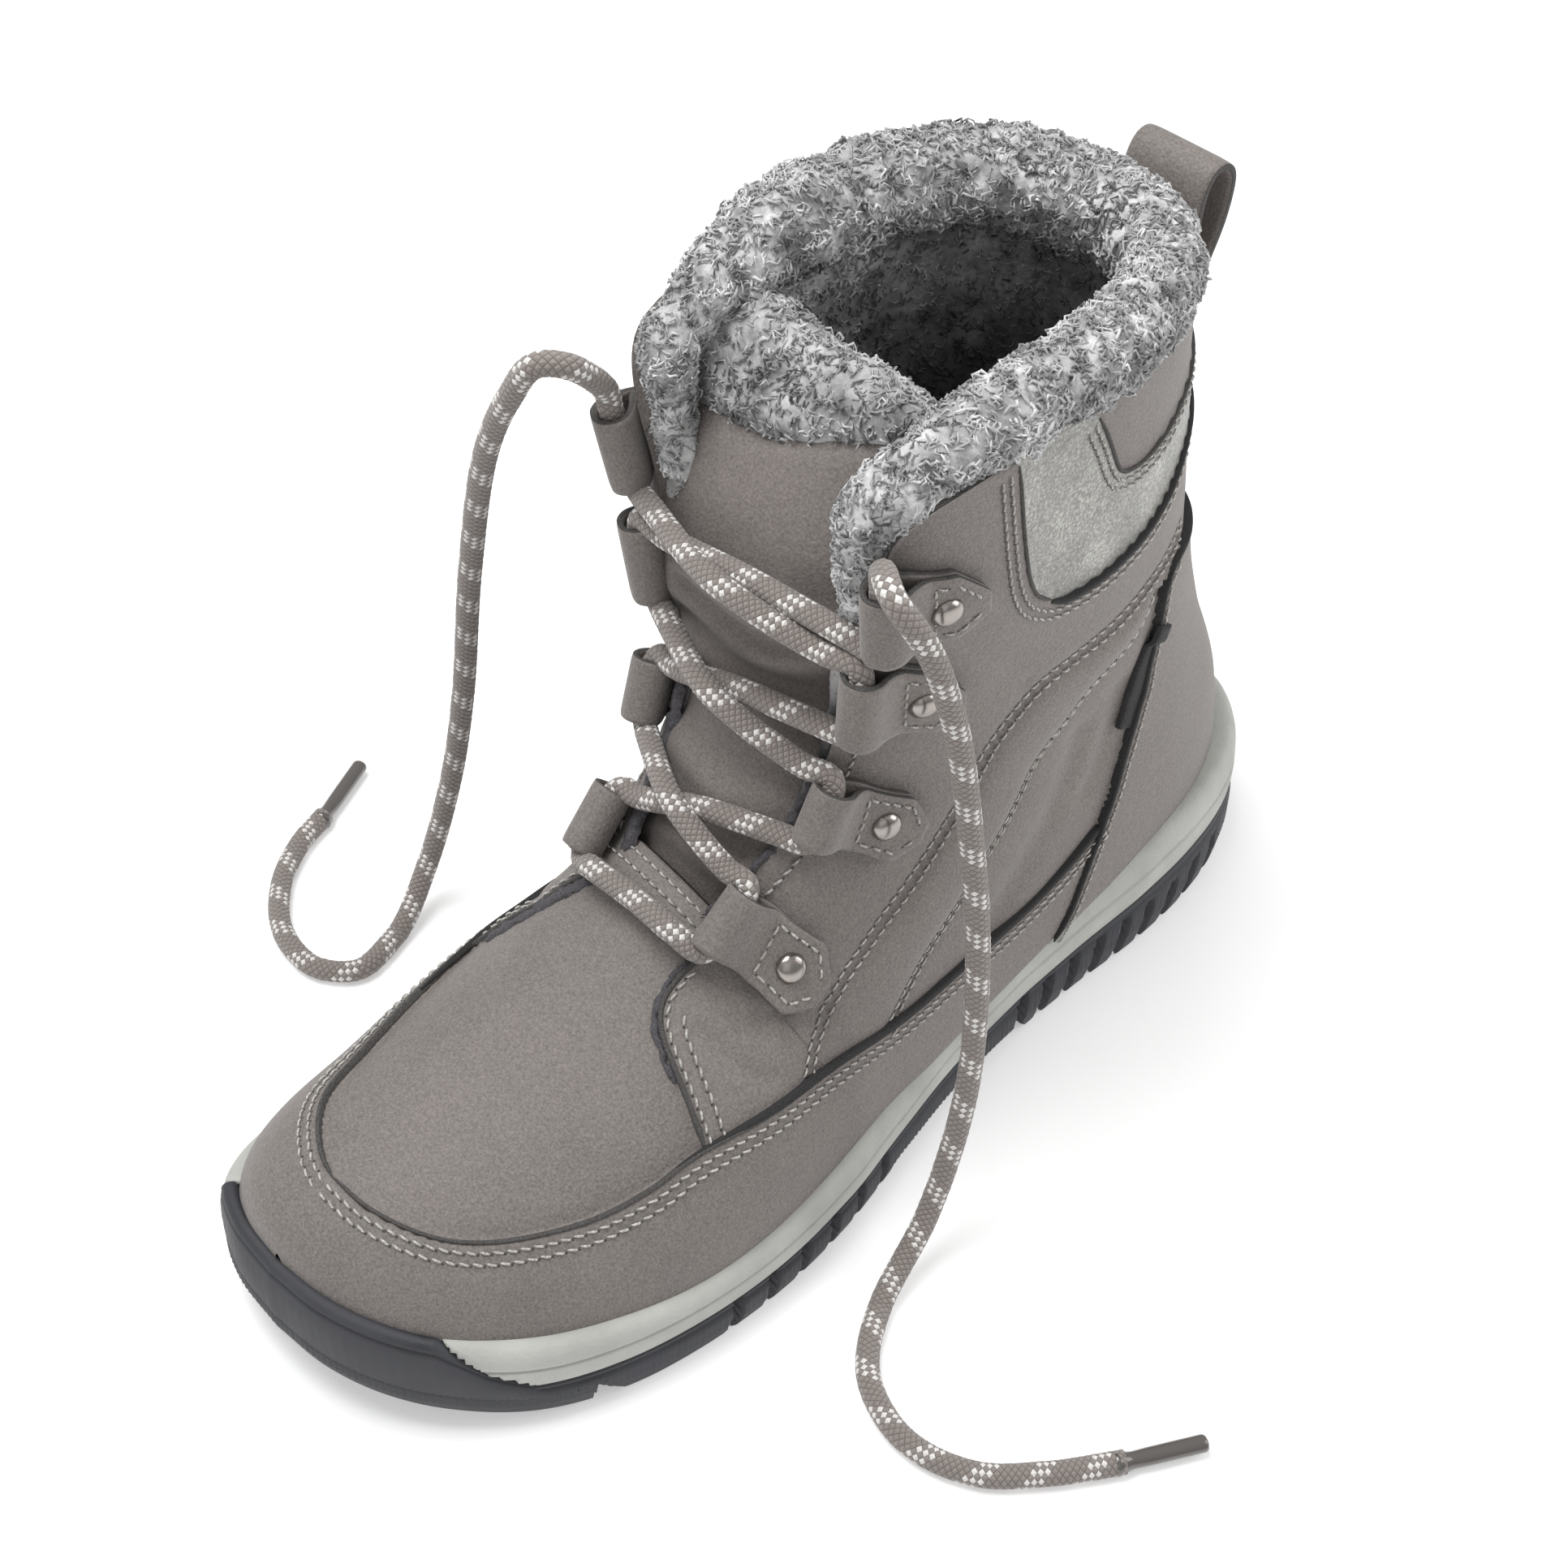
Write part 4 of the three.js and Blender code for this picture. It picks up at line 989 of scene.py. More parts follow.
def makeLacedStretch():
    ends = {side: [eyeEnds(k, side) for k in range(4)] for side in sides}

    def through(k, side, upward):
        low, high = ends[side][k]
        axis = unit(high - low)
        inward = np.array([-laced["inward"] * side, 0, 0])
        past, within = axis * laced["past"], axis * laced["within"]
        points = [low - past + inward, low + within, high - within, high + past + inward]
        return points if upward else points[::-1]

    def crossing(k, over, startSide):
        # between loop k's high end and the opposite next loop's low end
        start = ends[startSide][k][1]
        finish = ends[-startSide][k + 1][0]
        row = (loops[k][1] + loops[k + 1][0]) / 2
        middle = (start + finish) / 2
        ridge = ridgePoint(row, laced["over"] if over else laced["under"])
        top = np.array([middle[0], min(middle[1], ridge[1]), max(middle[2], min(ridge[2], middle[2] + 4))])
        sag = np.array([0, 0, -laced["sag"]])
        return [start * 0.72 + top * 0.28 + sag * 0.5, top, top * 0.28 + finish * 0.72 + sag * 0.5]

    def tucked(side):
        # where the stretch begins or ends, inside the top loop
        low, high = ends[side][3]
        return high - unit(high - low) * laced["tucked"]

    route = through(3, -1, False)
    route[0] = tucked(-1)
    route += crossing(2, True, 1)[::-1] + through(2, 1, False)
    route += crossing(1, False, -1)[::-1] + through(1, -1, False)
    route += crossing(0, True, 1)[::-1] + through(0, 1, False)
    bar = ridgePoint(laced["barRow"], laced["barLift"])
    a, b = ends[1][0][0], ends[-1][0][0]
    bow = np.array([0, -1.5, 0.5])
    route += [a * 0.6 + bar * 0.4 + bow, bar, b * 0.6 + bar * 0.4 + bow]
    route += through(0, -1, True)
    route += crossing(0, False, -1) + through(1, 1, True)
    route += crossing(1, True, 1) + through(2, -1, True)
    route += crossing(2, False, -1) + through(3, 1, True)
    route[-1] = tucked(1)
    path = roundCurve(route, cordMesh["step"] * 1.1)
    points, faces, uv = braidedCord(path)
    stretch = makePiece("lacedStretch", points, faces, "lace", "cord", uv=uv)
    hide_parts("lace_bar", "lace_cross_1", "lace_cross_2", "lace_cross_3")


makeLacedStretch()


# joined stitches
stitchSizes = {"length": 2.05, "pitch": 2.7, "radius": 0.27, "rise": 0.28, "hole": 0.36}
stitchRuns = []  # each entry is (starts, middles, ends) of one row of stitches


def stitchesAlong(path, normals, wander=0.0):
    # a stitch every pitch along a finished path; wander shifts every other one sideways a little
    run = runLength(path)
    count = max(int(run[-1] / stitchSizes["pitch"]), 1)
    begin = (np.arange(count) + 0.12) * run[-1] / count
    at = [begin, begin + stitchSizes["length"] / 2, begin + stitchSizes["length"]]
    place = [np.stack([np.interp(t, run, path[:, k]) for k in range(3)], -1) for t in at]
    lift = unit(np.stack([np.interp(at[1], run, normals[:, k]) for k in range(3)], -1))
    across = unit(np.cross(lift, place[2] - place[0]))
    place[0] = place[0] + across * wander
    place[2] = place[2] - across * wander
    stitchRuns.append((place, lift, across))


def stitchesOnBoot(line, offset=0.0, side=1, lift=0.12, wander=0.22):
    rows, turns = pathOnBoot(mirrored(line, side), 1.2)
    rows, turns = shifted(rows, turns, offset * side)
    path, normal = onUpper(rows, turns, lift)
    stitchesAlong(path, normal, wander)


def makeStitches():
    # five rings of four points: buried ends, full middle
    place = [np.concatenate([run[0][k] for run in stitchRuns]) for k in range(3)]
    lift = np.concatenate([run[1] for run in stitchRuns])
    across = np.concatenate([run[2] for run in stitchRuns])
    share = np.array([0.0, 0.18, 0.5, 0.82, 1.0])
    height = np.array([-0.35, 0.7, 1.0, 0.7, -0.35]) * stitchSizes["rise"]
    size = np.array([0.45, 1.0, 1.08, 1.0, 0.45]) * stitchSizes["radius"]
    a, m, b = (p[:, None] for p in place)
    t = share[None, :, None]
    centre = (1 - t) * (1 - 2 * t) * a + 4 * t * (1 - t) * m + t * (2 * t - 1) * b
    centre = centre + lift[:, None] * height[:, None]
    turn = fullTurn(4)
    ring = (lift[:, None, None] * np.sin(turn)[:, None] + across[:, None, None] * np.cos(turn)[:, None])
    points = centre[:, :, None] + ring * size[:, None, None]
    count = len(lift)
    faces = repeatedFaces(gridFaces(5, 4, wrap=True), 20, count)
    makePiece("seamStitches", points.reshape(-1, 3), faces, "thread", "cord")
    # the needle's holes between them: small dark six-sided caps, a little domed; their dark colour is painted
    # shade for the inside of each hole
    along = unit(np.cross(across, lift))
    hole = place[2] + unit(place[2] - place[0]) * (stitchSizes["pitch"] - stitchSizes["length"]) / 2
    turn = fullTurn(6)
    ring = across[:, None] * np.cos(turn)[:, None] + along[:, None] * np.sin(turn)[:, None]
    caps = np.stack([hole[:, None] + ring * stitchSizes["hole"] * wide + lift[:, None] * high
                     for wide, high in ((0.05, 0.10), (1.0, -0.08))], axis=1)
    faces = repeatedFaces(gridFaces(2, 6, wrap=True), 12, count)
    makePiece("needleHoleShade", caps.reshape(-1, 3), faces, "cutEdge", "leather")
    print("stitches:", count)


def belowCollar(line):
    return [point for point in fine(line) if point[0] < 17.70][::6]


def seams(side):
    # each seam's line, and how far its rows of stitches lie to the line's left
    return [(mudguardTop(side), (-2.1, -4.4)), (belowCollar(shimmerLine), (-2.4, -4.5)),
            (belowCollar(backPanelLine), (-1.7, -3.7)), (channelFront, (-1.15, 1.15)),
            (channelBack, (-1.1, 1.1)), (counterLine[:-2], (-2.2,)), (throatLine[4:13], (-4.6,)),
            (quarterFront(side)[1:], (1.5,)), (quarterFront(side)[4:], (4.9,))]


for side in sides:
    for line, offsets in seams(side):
        for offset in offsets:
            stitchesOnBoot(line, offset, side)


# bound and cut edges: narrow raised strips along the panels' edges
def edgeStrip(line, side, width, lift, offset=0.0, spacing=1.2, taper=5.0):
    # across profile: down the near side, over a rounded top, down the far side
    rows, turns = pathOnBoot(mirrored(line, side), spacing)
    rows, turns = shifted(rows, turns, offset * side)
    points, _, _, normal = bootFrame(rows, turns)
    # the strip rides on the higher of its two sides, evened along its run
    high = np.maximum.reduce([relief(*shifted(rows, turns, step * width / 2)) for step in (-0.9, 0.0, 0.9)])
    padded = np.pad(high, 3, mode="edge")
    high = sum(padded[k:k + len(high)] for k in range(7)) / 7
    points = points + normal * high[:, None]
    across = acrossRun(points, normal)
    share = np.array([-1.0, -0.96, -0.6, 0.0, 0.6, 0.96, 1.0])
    height = np.array([-3.0, 0.45, 0.95, 1.0, 0.95, 0.45, -3.0]) * lift
    begin = np.sin(np.clip(np.arange(len(points)) / taper, 0, 1) * np.pi / 2)
    finish = np.sin(np.clip(np.arange(len(points))[::-1] / 5.0, 0, 1) * np.pi / 2)
    ends = np.minimum(begin, finish)[:, None, None]
    strip = points[:, None] + across[:, None] * share[:, None] * width / 2 * (0.4 + 0.6 * ends)
    strip = strip + normal[:, None] * height[:, None] * (0.1 + 0.9 * ends)
    faces = gridFaces(len(points), len(share))
    return strip.reshape(-1, 3), (faces if side > 0 else faces[:, ::-1])


def joined(parts):
    # (points, faces) parts made into one pair of lists
    starts = np.cumsum([0] + [len(points) for points, _ in parts])
    return (np.concatenate([points for points, _ in parts]),
            np.concatenate([faces + start for (_, faces), start in zip(parts, starts)]))


def joinedStrips(name, finish, slot, strips):
    points, faces = joined(strips)
    makePiece(name, points, faces, finish, slot)


# the vamp's top band: a double-stitched strip across the throat's foot, dipping to the tongue
vampBand = {"turns": (-0.088, 0.062), "lowRow": (8.56, 8.44, 8.31), "width": 0.56, "lift": 0.55, "dip": 3.2,
            "thick": 1.2, "stitchRows": (0.42, 0.78)}


def onBand(share, across):
    # share goes along the band from medial to lateral, across from its lower to its upper edge
    turns = vampBand["turns"][0] + (vampBand["turns"][1] - vampBand["turns"][0]) * share
    low = np.interp(share, (0, 0.5, 1), vampBand["lowRow"])
    rows = low + vampBand["width"] * across
    points, _, _, normal = bootFrame(rows, turns)
    lift = vampBand["lift"] - vampBand["dip"] * across ** 2.2 + 0.12 * softNoise(points, 5.0, 71)
    return points + normal * lift[..., None], normal


def makeVampBand():
    share, across = np.meshgrid(np.linspace(0, 1, 90), np.linspace(0, 1, 16), indexing="ij")
    top, normal = onBand(share, across)
    points, faces, edge = twoSkins(top, top - normal * vampBand["thick"])
    makePiece("vampBand", points, faces[:, ::-1], ["leather", "cutEdge"], "leather", faceFinish=edge)
    along = np.linspace(0.03, 0.97, 120)
    for level in vampBand["stitchRows"]:
        path, lift = onBand(along, np.full(120, level))
        stitchesAlong(path + lift * 0.1, lift, 0.12)


def frayed(strip):
    # points pushed about by noise finer than the strip is wide
    points, faces = strip
    return points + 0.62 * np.stack([softNoise(points, 1.3, seed) for seed in (61, 62, 63)], -1), faces


def makeEdges():
    # each strip: line, side, width, lift, and how far it lies to the line's left
    bound, cut = [], []
    for side in sides:
        bound += [edgeStrip(fine(mudguardTop(side))[6 * 12:], side, 1.9, 0.6, 0.3, taper=36.0),
                  edgeStrip(counterLine, side, 1.35, 0.5, 0.2),
                  edgeStrip(shimmerLine[5:], side, 1.7, 0.75, -0.5)]
        cut += [edgeStrip(mudguardTop(side)[:8], side, 0.85, 0.36, 0.0),
                edgeStrip(quarterFront(side), side, 1.1, 0.5, 0.0),
                edgeStrip(belowCollar(shimmerLine[:6]), side, 0.8, 0.4, 0.0),
                edgeStrip(belowCollar(backPanelLine), side, 0.8, 0.4, 0.0)]
    lining = [edgeStrip(quarterLine[:7], 1, 1.5, 0.7, -1.1, spacing=0.5),
              edgeStrip(quarterMedial[:7], -1, 3.4, 0.9, -1.9, spacing=0.5),
              edgeStrip(throatLine[3:9], -1, 3.2, 0.5, 1.3, spacing=0.5),
              edgeStrip(throatLine[3:9], 1, 1.4, 0.3, 0.6, spacing=0.5)]
    joinedStrips("frayedLining", "pileDeep", "pile", [frayed(strip) for strip in lining])
    joinedStrips("boundEdges", "blackEdge", "leather", bound)
    joinedStrips("cutEdges", "cutEdge", "leather", cut)


makeVampBand()
makeEdges()


# the side tag: a small blank woven label over the counter's edge
tag = {"line": [(12.99, 0.263), (13.52, 0.282), (14.01, 0.303), (14.44, 0.322)],
       "offset": 2.9, "halfWidth": 3.2}


def makeTag():
    # a low rounded profile across, carried along the counter's edge and closed at both ends
    rows, turns = pathOnBoot(tag["line"], 1.0)
    rows, turns = shifted(rows, turns, tag["offset"])
    points, normal = onUpper(rows, turns, 0.0)
    across = acrossRun(points, normal)
    share = np.array([-1.0, -1.0, -0.85, -0.4, 0.0, 0.4, 0.85, 1.0, 1.0])
    height = np.array([-0.3, 0.7, 1.0, 1.08, 1.1, 1.08, 1.0, 0.7, -0.3]) + 0.25
    strip = points[:, None] + across[:, None] * share[:, None] * tag["halfWidth"]
    strip = strip + normal[:, None] * height[:, None]
    first = strip[:1] - normal[:1, None] * np.maximum(height, 0)[:, None]
    last = strip[-1:] - normal[-1:, None] * np.maximum(height, 0)[:, None]
    strip = np.concatenate([first, strip, last])
    makePiece("sideTag", strip.reshape(-1, 3), gridFaces(len(strip), len(share)), "tag", "plastic")


makeTag()


def loopPlace(loop, side, reach, across, height):
    # reach: mm from the eye's axis away from the throat; across: -1 at the low end to 1 at the
    # high end; height: mm over the upper. Near the eye the strap keeps to a straight round eye,
    # farther out it follows the upper.
    lowRow, highRow, eyeTurn = loops[loop][:3]
    reach, across, height = np.broadcast_arrays(*(np.asarray(v, float) for v in (reach, across, height)))
    low, high = eyeEnds(loop, side)
    axis = unit(high - low)
    rows = (lowRow + highRow) / 2 + across * (highRow - lowRow) / 2
    eye = polarTurn(np.array([(lowRow + highRow) / 2]), np.array([side * eyeTurn]))[0]
    _, _, perTurn, normal = bootFrame(np.array([(lowRow + highRow) / 2]), np.array([eye]))
    outward = perTurn[0] * side
    outward = unit(outward - axis * (outward @ axis))
    up = unit(np.cross(axis, outward))
    up = up * np.sign(up @ normal[0])
    straight = ((low + high) / 2 + axis * (across * np.linalg.norm(high - low) / 2)[..., None]
                + outward * reach[..., None] + up * (height - loopSizes["eyeLift"])[..., None])
    # turn at the wanted reach, by the length of the surface from the eye outward
    fan = np.linspace(0, 0.16, 240)
    run = runLength(bootPoint((lowRow + highRow) / 2, eye + fan * side))
    turns = eye + side * np.interp(np.maximum(reach, 0), run, fan)
    on, _, _, lift = bootFrame(rows, turns)
    on = on + lift * height[..., None]
    blend = smoothStep((reach - 2.5) / 6.0)[..., None]
    return straight + (on - straight) * blend


def loopReach(loop):
    # mm from the eye to the tab's tip and to the rivet, measured on the surface
    lowRow, highRow, eyeTurn, rivetTurn, tipTurn = loops[loop]
    row = (lowRow + highRow) / 2
    fan = np.linspace(eyeTurn, tipTurn, 80)
    run = runLength(bootPoint(np.full(80, row), polarTurn(np.full(80, row), fan)))
    rivet = np.interp(rivetTurn, fan, run)
    return run[-1] + 1.0, rivet


def tabWidth(reach, tip, width):
    # share of the full width: full beside the eye, a little less along the tab, then a blunt point
    taper = 1 - 0.10 * smoothStep((reach - 4) / 8)
    point = np.clip((tip - reach) / (0.40 * width), 0, 1)
    return taper * (0.30 + 0.70 * point)


def loopSkins(k, side):
    # a strap's middle line from the tab's tip over the eye and back under to the tip, spread
    # across the tab's width, then two skins a strap's thickness apart
    tip, _ = loopReach(k)
    low, high = eyeEnds(k, side)
    top, under, middle, r = (loopSizes[key] for key in ("tabTop", "tabUnder", "eyeLift", "eyeRadius"))
    profile = [(tip, top), (tip - 3, top), (tip * 0.5 + 4.6, top), (9.0, top + 0.05), (7.2, top + 0.5),
               (5.7, top + 1.7), (4.6, middle + 0.5), (3.5, middle + 2.3), (1.9, middle + r * 0.93),
               (0, middle + r * 1.03), (-r * 0.72, middle + r * 0.72), (-r, middle),
               (-r * 0.72, middle - r * 0.72), (0, middle - r), (r * 0.8, middle - r - 0.25),
               (6.0, under + 0.1), (9.0, under), (tip * 0.5 + 4.6, under), (tip - 3, under), (tip, under)]
    line = evenly(curveThrough(profile, 400), count=loopSizes["along"])
    share = np.linspace(-1, 1, loopSizes["across"])
    reach = line[:, 0, None] * np.ones(len(share))
    across = share * tabWidth(np.abs(reach), tip, np.linalg.norm(high - low))
    seed = np.full(len(line), 7.0 * k + side)
    ease = 0.35 * softNoise(np.stack([line[:, 0], line[:, 1], seed], -1), 5.0, 8)
    points = loopPlace(k, side, reach, across, line[:, 1, None] + 0.0 * share)
    points = points + ease[:, None, None] * 0.4
    normal = unit(np.cross(np.gradient(points, axis=0), np.gradient(points, axis=1)))
    away = normal * (loopSizes["thick"] / 2 * (1 - 0.22 * np.abs(share) ** 10))[:, None]
    points, faces, edge = twoSkins(points + away, points - away)
    return points, faces if side > 0 else faces[:, ::-1], edge


def stitchTab(k, side):
    # stitched frame: a bar beside the eye, the two long sides and the pointed end
    tip, _ = loopReach(k)
    low, high = eyeEnds(k, side)
    shoulder = tip - 0.40 * np.linalg.norm(high - low) - 0.3
    near, far, inset = 8.6, tip - 2.3, 0.74
    corners = [(near, -inset), (near, inset), (near + 0.1, inset), (shoulder, inset),
               (far, 0.20), (far, -0.20), (shoulder, -inset), (near + 0.1, -inset)]
    skin = loopSizes["tabTop"] + loopSizes["thick"] / 2
    for a, b in ((0, 1), (2, 3), (3, 4), (5, 6), (6, 7)):
        leg = np.linspace(corners[a], corners[b], 24)
        leg[:, 1] *= 1 - 0.10 * smoothStep((leg[:, 0] - 4) / 8)
        path, above = (loopPlace(k, side, leg[:, 0], leg[:, 1], np.full(24, skin + rise))
                       for rise in (0.05, 1.05))
        stitchesAlong(path, above - path, 0.1)


def makeLoops():
    parts, edges = [], []
    for side in sides:
        for k in range(4):
            points, faces, edge = loopSkins(k, side)
            parts.append((points, faces))
            edges.append(edge)
            stitchTab(k, side)
    piece = makePiece("laceLoops", *joined(parts), ["leather", "cutEdge"], "leather",
                      faceFinish=np.concatenate(edges))
    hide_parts(*[f"lace_loop_{name}_{k}" for name in ("lateral", "medial") for k in (1, 2, 3, 4)])


makeLoops()


# rivets: domed caps; radius and height of the profile, from the top out
rivet = {"profile": [(0.0, 1.95), (0.8, 1.90), (1.6, 1.73), (2.3, 1.42), (2.85, 0.98), (3.2, 0.46),
                     (3.32, 0.05), (3.25, -0.4)], "rings": 26, "around": 32}


def makeRivets():
    # the profile turned round an axis that stands square on the tab
    profile = evenly(curveThrough(rivet["profile"], 200), count=rivet["rings"])
    turn = fullTurn(rivet["around"])
    parts = []
    for side in sides:
        for k in range(4):
            _, reach = loopReach(k)
            top = loopSizes["tabTop"] + loopSizes["thick"] / 2
            at, ahead, beside = (loopPlace(k, side, np.array([a]), np.array([b]), np.array([top]))[0]
                                 for a, b in ((reach, 0.0), (reach + 1, 0.0), (reach, 0.1)))
            one, two = unit(ahead - at), unit(beside - at)
            up = unit(np.cross(one, two)) * side
            two = np.cross(up, one)
            ring = one * np.cos(turn)[:, None] + two * np.sin(turn)[:, None]
            points = at + profile[:, 0, None, None] * ring + up * profile[:, 1, None, None]
            parts.append((points.reshape(-1, 3), gridFaces(len(profile), len(turn), wrap=True)[:, ::-1]))
    rivets = makePiece("rivetCaps", *joined(parts), "metal", "metal")
    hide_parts(*[f"rivet_{name}_{k}" for name in ("lateral", "medial") for k in (1, 2, 3, 4)])


makeRivets()
makeStitches()


# y and z of the strap's middle line, up the back of the collar and down again
pullLoop = {"line": [(98.3, 156), (98.6, 172), (99.2, 184), (101.8, 189.6), (106, 190), (108.6, 186),
                     (107.5, 177), (103.5, 167), (101.5, 160)],
            "middle": -2, "halfWidth": 10.4, "halfThick": 0.98}


def makePullLoop():
    # the line spread across the strap's width, with two skins whose edges roll in slightly
    line = evenly(curveThrough(pullLoop["line"], 300), count=70)
    share = np.linspace(-1, 1, 19)
    run = unit(np.gradient(line, axis=0))
    out = np.stack([-run[:, 1], run[:, 0]], -1)
    half = pullLoop["halfThick"] - 0.25 * np.abs(share) ** 8
    skins = []
    for way in (1, -1):
        yz = line[:, None] + way * out[:, None] * half[:, None]
        x = np.broadcast_to(pullLoop["middle"] + pullLoop["halfWidth"] * share, yz.shape[:2])
        skins.append(np.concatenate([x[..., None], yz], -1))
    points, faces, edge = twoSkins(*skins)
    pull = makePiece("pullStrap", points, faces[:, ::-1], ["leather", "cutEdge"], "leather", faceFinish=edge)
    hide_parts("pull_loop")


makePullLoop()


# pile: a rolled edge, the lining, the tongue's padding and joined curls
pileSizes = {"wall": 7.5, "lump": 5.4, "clump": 11.0}
pileGrids = []  # each entry is (points, outward normals, share of curls, curl size, brightness that carries painted shade) of a visible surface


def pileBumps(points, strength, seed=11):
    # rounded tufts: folded noise at tuft size on broader clumps
    tuft = 1 - np.abs(softNoise(points, pileSizes["lump"], seed)) * 2
    small = 1 - np.abs(softNoise(points, pileSizes["lump"] * 0.5, seed + 1)) * 2
    clump = softNoise(points, pileSizes["clump"], seed + 2)
    return strength * (0.95 * tuft + 0.40 * small + 0.65 * clump)


def gridNormals(points):
    return unit(np.cross(np.gradient(points, axis=1), np.gradient(points, axis=0)))


def pileShade(points):
    # each clump of curls has its own shade, from 0 to 1
    return 0.5 + 0.5 * softNoise(points, 5.0, 33)


rollSizes = {"heights": [88, 108, 124, 140, 158, 172], "thick": [0.8, 1.0, 1.5, 2.9, 4.3, 5.2],
             "collar": 1.7, "far": 1.9, "around": 44}


def makeRoll():
    # the roll follows the leather's free edge: up one throat edge, round the collar, down the other
    edge = throatLine[6:-1] + collarLine
    lateralRows, lateralTurns = pathOnBoot(edge, 1.15)
    rows = np.concatenate([lateralRows, lateralRows[::-1][1:]])
    turns = np.concatenate([lateralTurns, (-lateralTurns[::-1][1:])])
    points, _, _, normal = bootFrame(rows, turns)
    up = acrossRun(points, normal)  # away from the leather, in its surface
    collar = smoothStep((np.abs(turns) - 0.14) / 0.08)
    far = collar * smoothStep((0.40 - turns) / 0.12) * (turns < 0)
    far = far + smoothStep((turns - 0.34) / 0.16) * (turns > 0)
    thick = np.interp(points[:, 2], rollSizes["heights"], rollSizes["thick"])
    thick = thick + collar * rollSizes["collar"] + far * rollSizes["far"]
    near = (1 - collar) * (turns < 0)  # the medial throat edge, behind the tongue's own edge
    thick = thick * (1 - 0.08 * near)
    inset = thick + 0.7 + 1.5 * near
    over = thick * (0.72 - 0.22 * collar - 0.85 * near) + 3.0 * far
    centre = points - normal * inset[:, None] + up * over[:, None]
    # from outside the leather, over, to inside
    sweep = np.linspace(-0.42 * np.pi, 1.42 * np.pi, rollSizes["around"])
    ring = (normal[:, None] * np.cos(sweep)[:, None] + up[:, None] * np.sin(sweep)[:, None])
    bend = 1 + 0.16 * softNoise(points, 21.0, 31)[:, None]
    roll = centre[:, None] + ring * (thick[:, None] * bend)[..., None]
    out = gridNormals(roll)
    out = out * np.sign((out * ring).sum(-1).mean())
    strength = np.clip(thick / 5.0, 0.25, 1.25)[:, None]
    roll = roll + out * pileBumps(roll, strength)[..., None]
    # painted shade: the pile is darkened where the roll is thin and low in the throat, down to 0.3 of its
    # colour
    light = np.broadcast_to((0.30 + 0.70 * smoothStep((thick - 1.4) / 2.6))[:, None], roll.shape[:2])
    pileGrids.append((roll, out, 1.0, np.clip(thick / 5.5, 0.35, 1.0), light))
    faces = gridFaces(*roll.shape[:2])
    makePiece("collarPile", roll.reshape(-1, 3), faces, "pile", "pile",
              values={"shade": pileShade(roll), "light": light})


def paintedShadeInside(points):
    # painted shade: how bright the pile's colour stays down inside the boot, where shade falls: full at the
    # rim, a third of it 60 mm down
    return 0.12 + 0.88 * smoothStep((points[..., 2] - 128) / 62)


def makeLining():
    # inside face: the form less the wall, from over the toe's hollow to the collar
    rowSteps = np.concatenate([np.linspace(4.2, 8.5, 20), np.linspace(8.6, 17.72, 100)])
    front = np.where(rowSteps < 8.56, 0.0, np.interp(rowSteps, throatTable[:, 0], throatTable[:, 1]) + 0.006)
    half = np.linspace(0, 1, 66)
    turnsHalf = front[:, None] + (0.5 - front[:, None]) * half
    parts = []
    for side in sides:
        turns = turnsHalf * side
        rows = rowSteps[:, None] + 0 * turns
        points, _, _, normal = bootFrame(rows, turns)
        depth = pileSizes["wall"] - 3.5 * (1 - smoothStep(half * 12))[None] * (rows > 8.56)
        depth = depth + 3.2 * smoothStep((rows - 13.0) / 4.0)
        inner = points - normal * depth[..., None]
        inner[..., 2] = np.maximum(inner[..., 2], soleHeight(3, inner[..., 1]) + 3.5)
        into = -normal
        inner = inner + into * pileBumps(inner, 0.85)[..., None]
        grid = gridFaces(*inner.shape[:2])
        parts.append((inner.reshape(-1, 3), grid if side > 0 else grid[:, ::-1]))
        upper = rowSteps > 14.2
        pileGrids.append((inner[upper], into[upper], 0.70, np.full(int(upper.sum()), 0.85),
                          paintedShadeInside(inner[upper])))
    points, faces = joined(parts)
    # painted shade: the lining's pile and the curls on it darken down inside the boot
    makePiece("innerPile", points, faces, "pile", "pile",
              values={"shade": pileShade(points), "light": paintedShadeInside(points)})


tongueRows = np.array([
    # y, z, halfWidth, curveBack
    [-58, 55.5, 15, 3], [-48, 61, 20, 5], [-40, 68, 23, 7], [-34.5, 77, 24, 9], [-31, 88, 25, 11],
    [-26, 99, 26, 13], [-19.5, 110, 26, 14], [-16, 124, 26, 14], [-15.5, 140, 27, 13], [-12, 154, 29, 12],
    [-5, 166, 31, 10], [3, 177, 32, 8], [9, 185.5, 31, 6.5], [11.5, 190, 25, 5],
])
tongueFolds = [  # (row, turn) points on the form in front, depth, half width
    ([(13.86, -0.085), (13.73, -0.012), (14.06, 0.048), (14.6, 0.085)], 2.1, 2.2),
    ([(13.2, -0.085), (12.95, -0.02), (13.1, 0.04), (13.5, 0.085)], 1.2, 3.0),
    ([(9.2, -0.09), (9.55, -0.03), (9.45, 0.045)], 2.2, 2.2),
    ([(10.1, -0.09), (10.05, -0.02), (9.7, 0.06)], 1.3, 2.6),
    ([(11.3, -0.09), (11.2, 0.0), (11.5, 0.08)], 0.9, 3.4),
]


def tongueSkin(rows, share, depth):
    # middle line of the tongue's front face, curved back by the square of the share across
    y, z, width, back = (columnAt(tongueRows, k, rows) for k in range(4))
    run = np.stack([columnAt(tongueRows, k, rows + 0.05) - columnAt(tongueRows, k, rows - 0.05)
                    for k in (0, 1)], -1)
    run = unit(run)
    inwardY, inwardZ = run[..., 1], -run[..., 0]
    # the medial half is wider and flatter higher up, where it lies out over the opening
    flat = smoothStep((z - 104) / 26) * (share < 0)
    deep = back * share ** 2 * (1 - 0.72 * flat) + depth
    x = -2 + share * width * (1 + 0.36 * flat)
    return np.stack([x + 0 * deep, y + inwardY * deep, z + inwardZ * deep], -1)


